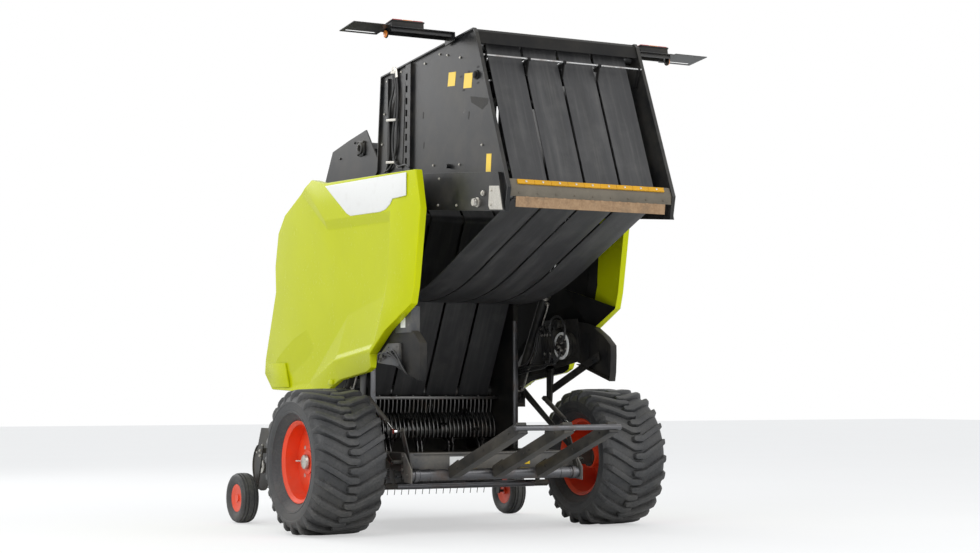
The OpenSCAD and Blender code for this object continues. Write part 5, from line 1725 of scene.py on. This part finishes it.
def pickup_end_parts():
    """The bolts, bosses and rims on the pick-up's two ends."""
    w = PICKUP_HALF
    x, z = REEL_AT
    places = [(1.53, 0.62), (1.36, 0.62), (1.24, 0.74), (1.24, 0.62), (1.64, 0.56), (1.43, 0.36)]
    plates = [side_bolts("end_bolts", places, w + 0.014, 0.009),
              ring_plate("end_boss", REEL_AT, 0.055, 0.010, w + 0.014, w + 0.026, 32),
              bolt("boss_bolt", spot(x, w + 0.026, z), (0, 1, 0), 0.014),
              bolt("hinge_bolt", spot(1.13, 0.725, 0.70), (0, 1, 0), 0.018),
              bolt("gauge_bolt", spot(GAUGE_AT[0], 1.272, GAUGE_AT[1]), (0, 1, 0), 0.011),
              side_bolts("fork_bolts", [(1.43, 0.58), (1.43, 0.54)], 1.132, 0.012)]
    fit(plates, "pickup_bolts", "zinc", "pickup", both=True)
    edges = [cut_plate("end_rim", arc(REEL_AT, BAND_R + 0.020, -110, 60, 24)
                       + arc(REEL_AT, BAND_R + 0.014, 60, -110, 24), w + 0.004, w + 0.022, 0.001),
             cross_rod("roller_stub", (1.69, 0.76), 0.905, 0.925, 0.030, 28, 0.003)]
    fit(edges, "pickup_rims", "frame_paint", "pickup", both=True)


def build_pickup():
    stripper_parts()
    tine_reel_parts()
    pickup_end_parts()


# Stage

# Where the photograph was taken from, measured from the axle, and the way that the camera looked
CAMERA_AT = (-13.24, 7.25, 1.05)
CAMERA_LOOK = (0.8706, -0.4886, 0.0588)
LENS = 72
SENSOR = 36
LIT_AT = (-0.6, 0, 1.2)
PANELS = (("key_panel", (-7, 8, 8), None), ("fill_panel", (-9, -4, 5), 200), ("front_panel", (8, 3, 7), 260))
PANEL_SIZE = 6


def build_stage():
    """The studio: its floor, sky and three light panels."""
    floor = start("plane", "studio_floor", size=90, location=(0, 0, -0.0006))
    f = Finish("studio_floor")
    tone = f.noise(0.6, 3)
    f.set(colour=f.mix(tone, (0.84, 0.84, 0.83), (0.88, 0.88, 0.87)), rough=0.9, specular=0.1)
    lit = f.node("ShaderNodeEmission", {}, {"Color": (1, 1, 1), "Strength": 1.0})
    seen = f.node("ShaderNodeLightPath", output="Is Camera Ray")
    pale = f.node("ShaderNodeMixShader", {}, {0: seen * 0.5, 1: Value(f, f.shader.outputs[0]), 2: lit})
    f.feed(f.tree.nodes["Material Output"].inputs["Surface"], pale)
    floor.data.materials.append(f.material)
    settle(floor)
    world = bpy.data.worlds.new("studio")
    bpy.context.scene.world = world
    world.use_nodes = True
    tree = world.node_tree
    rays = tree.nodes.new("ShaderNodeLightPath")
    sky = tree.nodes["Background"]
    sky.inputs["Color"].default_value = (0.93, 0.96, 1.0, 1)
    sky.inputs["Strength"].default_value = 0.85
    white = tree.nodes.new("ShaderNodeBackground")
    white.inputs["Color"].default_value = (1, 1, 1, 1)
    blend = tree.nodes.new("ShaderNodeMixShader")
    link = tree.links.new
    seen = rays.outputs["Is Camera Ray"]
    for ray in ("Is Glossy Ray", "Is Transmission Ray"):
        either = tree.nodes.new("ShaderNodeMath")
        either.operation = "MAXIMUM"
        link(seen, either.inputs[0])
        link(rays.outputs[ray], either.inputs[1])
        seen = either.outputs[0]
    link(seen, blend.inputs[0])
    link(sky.outputs[0], blend.inputs[1])
    link(white.outputs[0], blend.inputs[2])
    link(blend.outputs[0], tree.nodes["World Output"].inputs["Surface"])
    for name, place, power in PANELS:
        idle()
        bpy.ops.object.light_add(type="AREA", location=place)
        lamp = bpy.context.object
        lamp.name = name
        lamp.data.size = PANEL_SIZE
        lamp.data.energy = power or sizes().key_power
        lamp.rotation_euler = (Vector(LIT_AT) - Vector(place)).to_track_quat("-Z", "Y").to_euler()


def build_camera():
    """The camera, where the photograph was taken from."""
    idle()
    bpy.ops.object.camera_add(location=spot(*CAMERA_AT))
    camera = bpy.context.object
    camera.name = "view_camera"
    camera.data.lens = LENS
    camera.data.sensor_width = SENSOR
    camera.data.clip_end = 200
    camera.rotation_euler = Vector(CAMERA_LOOK).to_track_quat("-Z", "Y").to_euler()
    bpy.context.scene.camera = camera
    bpy.context.scene.view_settings.view_transform = "Standard"


def build_finishes():
    """Gives every solid of the frame its finish."""
    for name, nodes in NODE_FINISHES.items():
        for node in nodes:
            dress(NODES[node], name)
    bare = set(NODES) - {node for nodes in NODE_FINISHES.values() for node in nodes}
    if bare:
        raise RuntimeError(f"these solids have no finish: {sorted(bare)}")


def added(build, least):
    """Runs a builder, and raises an error where it makes fewer objects than its pieces need."""
    before = len(bpy.data.objects)
    build()
    made = len(bpy.data.objects) - before
    if made < least:
        raise RuntimeError(f"{build.__name__} made {made} objects, not the {least} that it should")
    return {"FINISHED"}


class BALER_OT_finishes(bpy.types.Operator):
    """Give every solid of the frame its paint, rubber or metal"""
    bl_idname = "baler.finishes"
    bl_label = "Finishes"

    def execute(self, context):
        return added(build_finishes, 0)


class BALER_OT_stage(bpy.types.Operator):
    """Add the floor, the soft light, the backdrop and the camera"""
    bl_idname = "baler.stage"
    bl_label = "Studio Stage"

    def execute(self, context):
        build_camera()
        return added(build_stage, 4)


class BALER_OT_wheels(bpy.types.Operator):
    """Add the treaded tyres, the gauge wheels' tyres and the wheel nuts"""
    bl_idname = "baler.wheels"
    bl_label = "Wheels"

    def execute(self, context):
        return added(build_wheels, 6)


class BALER_OT_hoods(bpy.types.Operator):
    """Add the two pressed side hoods with their blank fields and dark linings, which paint in the shade
    inside them
    """
    bl_idname = "baler.hoods"
    bl_label = "Side Hoods"

    def execute(self, context):
        return added(build_hoods, 6)


class BALER_OT_intake(bpy.types.Operator):
    """Add the curved comb and the feed rotor with its tines"""
    bl_idname = "baler.intake"
    bl_label = "Crop Intake"

    def execute(self, context):
        return added(build_intake, 2)


class BALER_OT_gate(bpy.types.Operator):
    """Add the tailgate's belts, hoses, plates, latches, guide rod, worn lip and lamps"""
    bl_idname = "baler.gate"
    bl_label = "Tailgate"

    def execute(self, context):
        return added(build_gate, 15)


class BALER_OT_side_units(bpy.types.Operator):
    """Add the wall bearings, the oil unit, the side boxes, the mudguards and the control boxes"""
    bl_idname = "baler.side_units"
    bl_label = "Side Units"

    def execute(self, context):
        return added(build_side_units, 10)


class BALER_OT_ramp(bpy.types.Operator):
    """Add the bale ramp, the rear cross beam, the knives' bolts, the struts and the frame's braces"""
    bl_idname = "baler.ramp"
    bl_label = "Bale Ramp"

    def execute(self, context):
        return added(build_ramp, 7)


class BALER_OT_cylinders(bpy.types.Operator):
    """Add the glands, ports and pipes of the tailgate's two cylinders"""
    bl_idname = "baler.cylinders"
    bl_label = "Gate Cylinders"

    def execute(self, context):
        return added(build_cylinders, 2)


class BALER_OT_front(bpy.types.Operator):
    """Add the drawbar's bolts, the jack's crank, the shaft guard's rings and the front doors"""
    bl_idname = "baler.front"
    bl_label = "Drawbar And Front"

    def execute(self, context):
        return added(build_front, 6)


class BALER_OT_pickup(bpy.types.Operator):
    """Add the stripper bands, the reel with its spring tines and the pick-up's bolts"""
    bl_idname = "baler.pickup"
    bl_label = "Pick-up"

    def execute(self, context):
        return added(build_pickup, 4)


GROUPS = (BalerColours, BalerSizes)
STEPS = (BALER_OT_finishes, BALER_OT_stage, BALER_OT_wheels, BALER_OT_hoods, BALER_OT_intake, BALER_OT_gate,
         BALER_OT_side_units, BALER_OT_ramp, BALER_OT_cylinders, BALER_OT_front, BALER_OT_pickup)


class BALER_PT_panel(bpy.types.Panel):
    """Colours, sizes and one button for each group of pieces"""
    bl_idname = "BALER_PT_panel"
    bl_label = "Round Baler"
    bl_space_type = "VIEW_3D"
    bl_region_type = "UI"
    bl_category = "Baler"

    def draw(self, context):
        for group in (context.scene.baler_colours, context.scene.baler_sizes):
            box = self.layout.box()
            for name in group.__annotations__:
                box.prop(group, name)
        for step in STEPS:
            self.layout.operator(step.bl_idname)


def register():
    for cls in GROUPS + STEPS + (BALER_PT_panel,):
        bpy.utils.register_class(cls)
    bpy.types.Scene.baler_colours = bpy.props.PointerProperty(type=BalerColours)
    bpy.types.Scene.baler_sizes = bpy.props.PointerProperty(type=BalerSizes)


def unregister():
    del bpy.types.Scene.baler_colours, bpy.types.Scene.baler_sizes
    for cls in reversed(GROUPS + STEPS + (BALER_PT_panel,)):
        bpy.utils.unregister_class(cls)


def main():
    register()
    bpy.ops.baler.finishes()
    bpy.ops.baler.stage()
    bpy.ops.baler.wheels()
    bpy.ops.baler.hoods()
    bpy.ops.baler.intake()
    bpy.ops.baler.gate()
    bpy.ops.baler.side_units()
    bpy.ops.baler.ramp()
    bpy.ops.baler.cylinders()
    bpy.ops.baler.front()
    bpy.ops.baler.pickup()


if __name__ == "__main__":
    main()
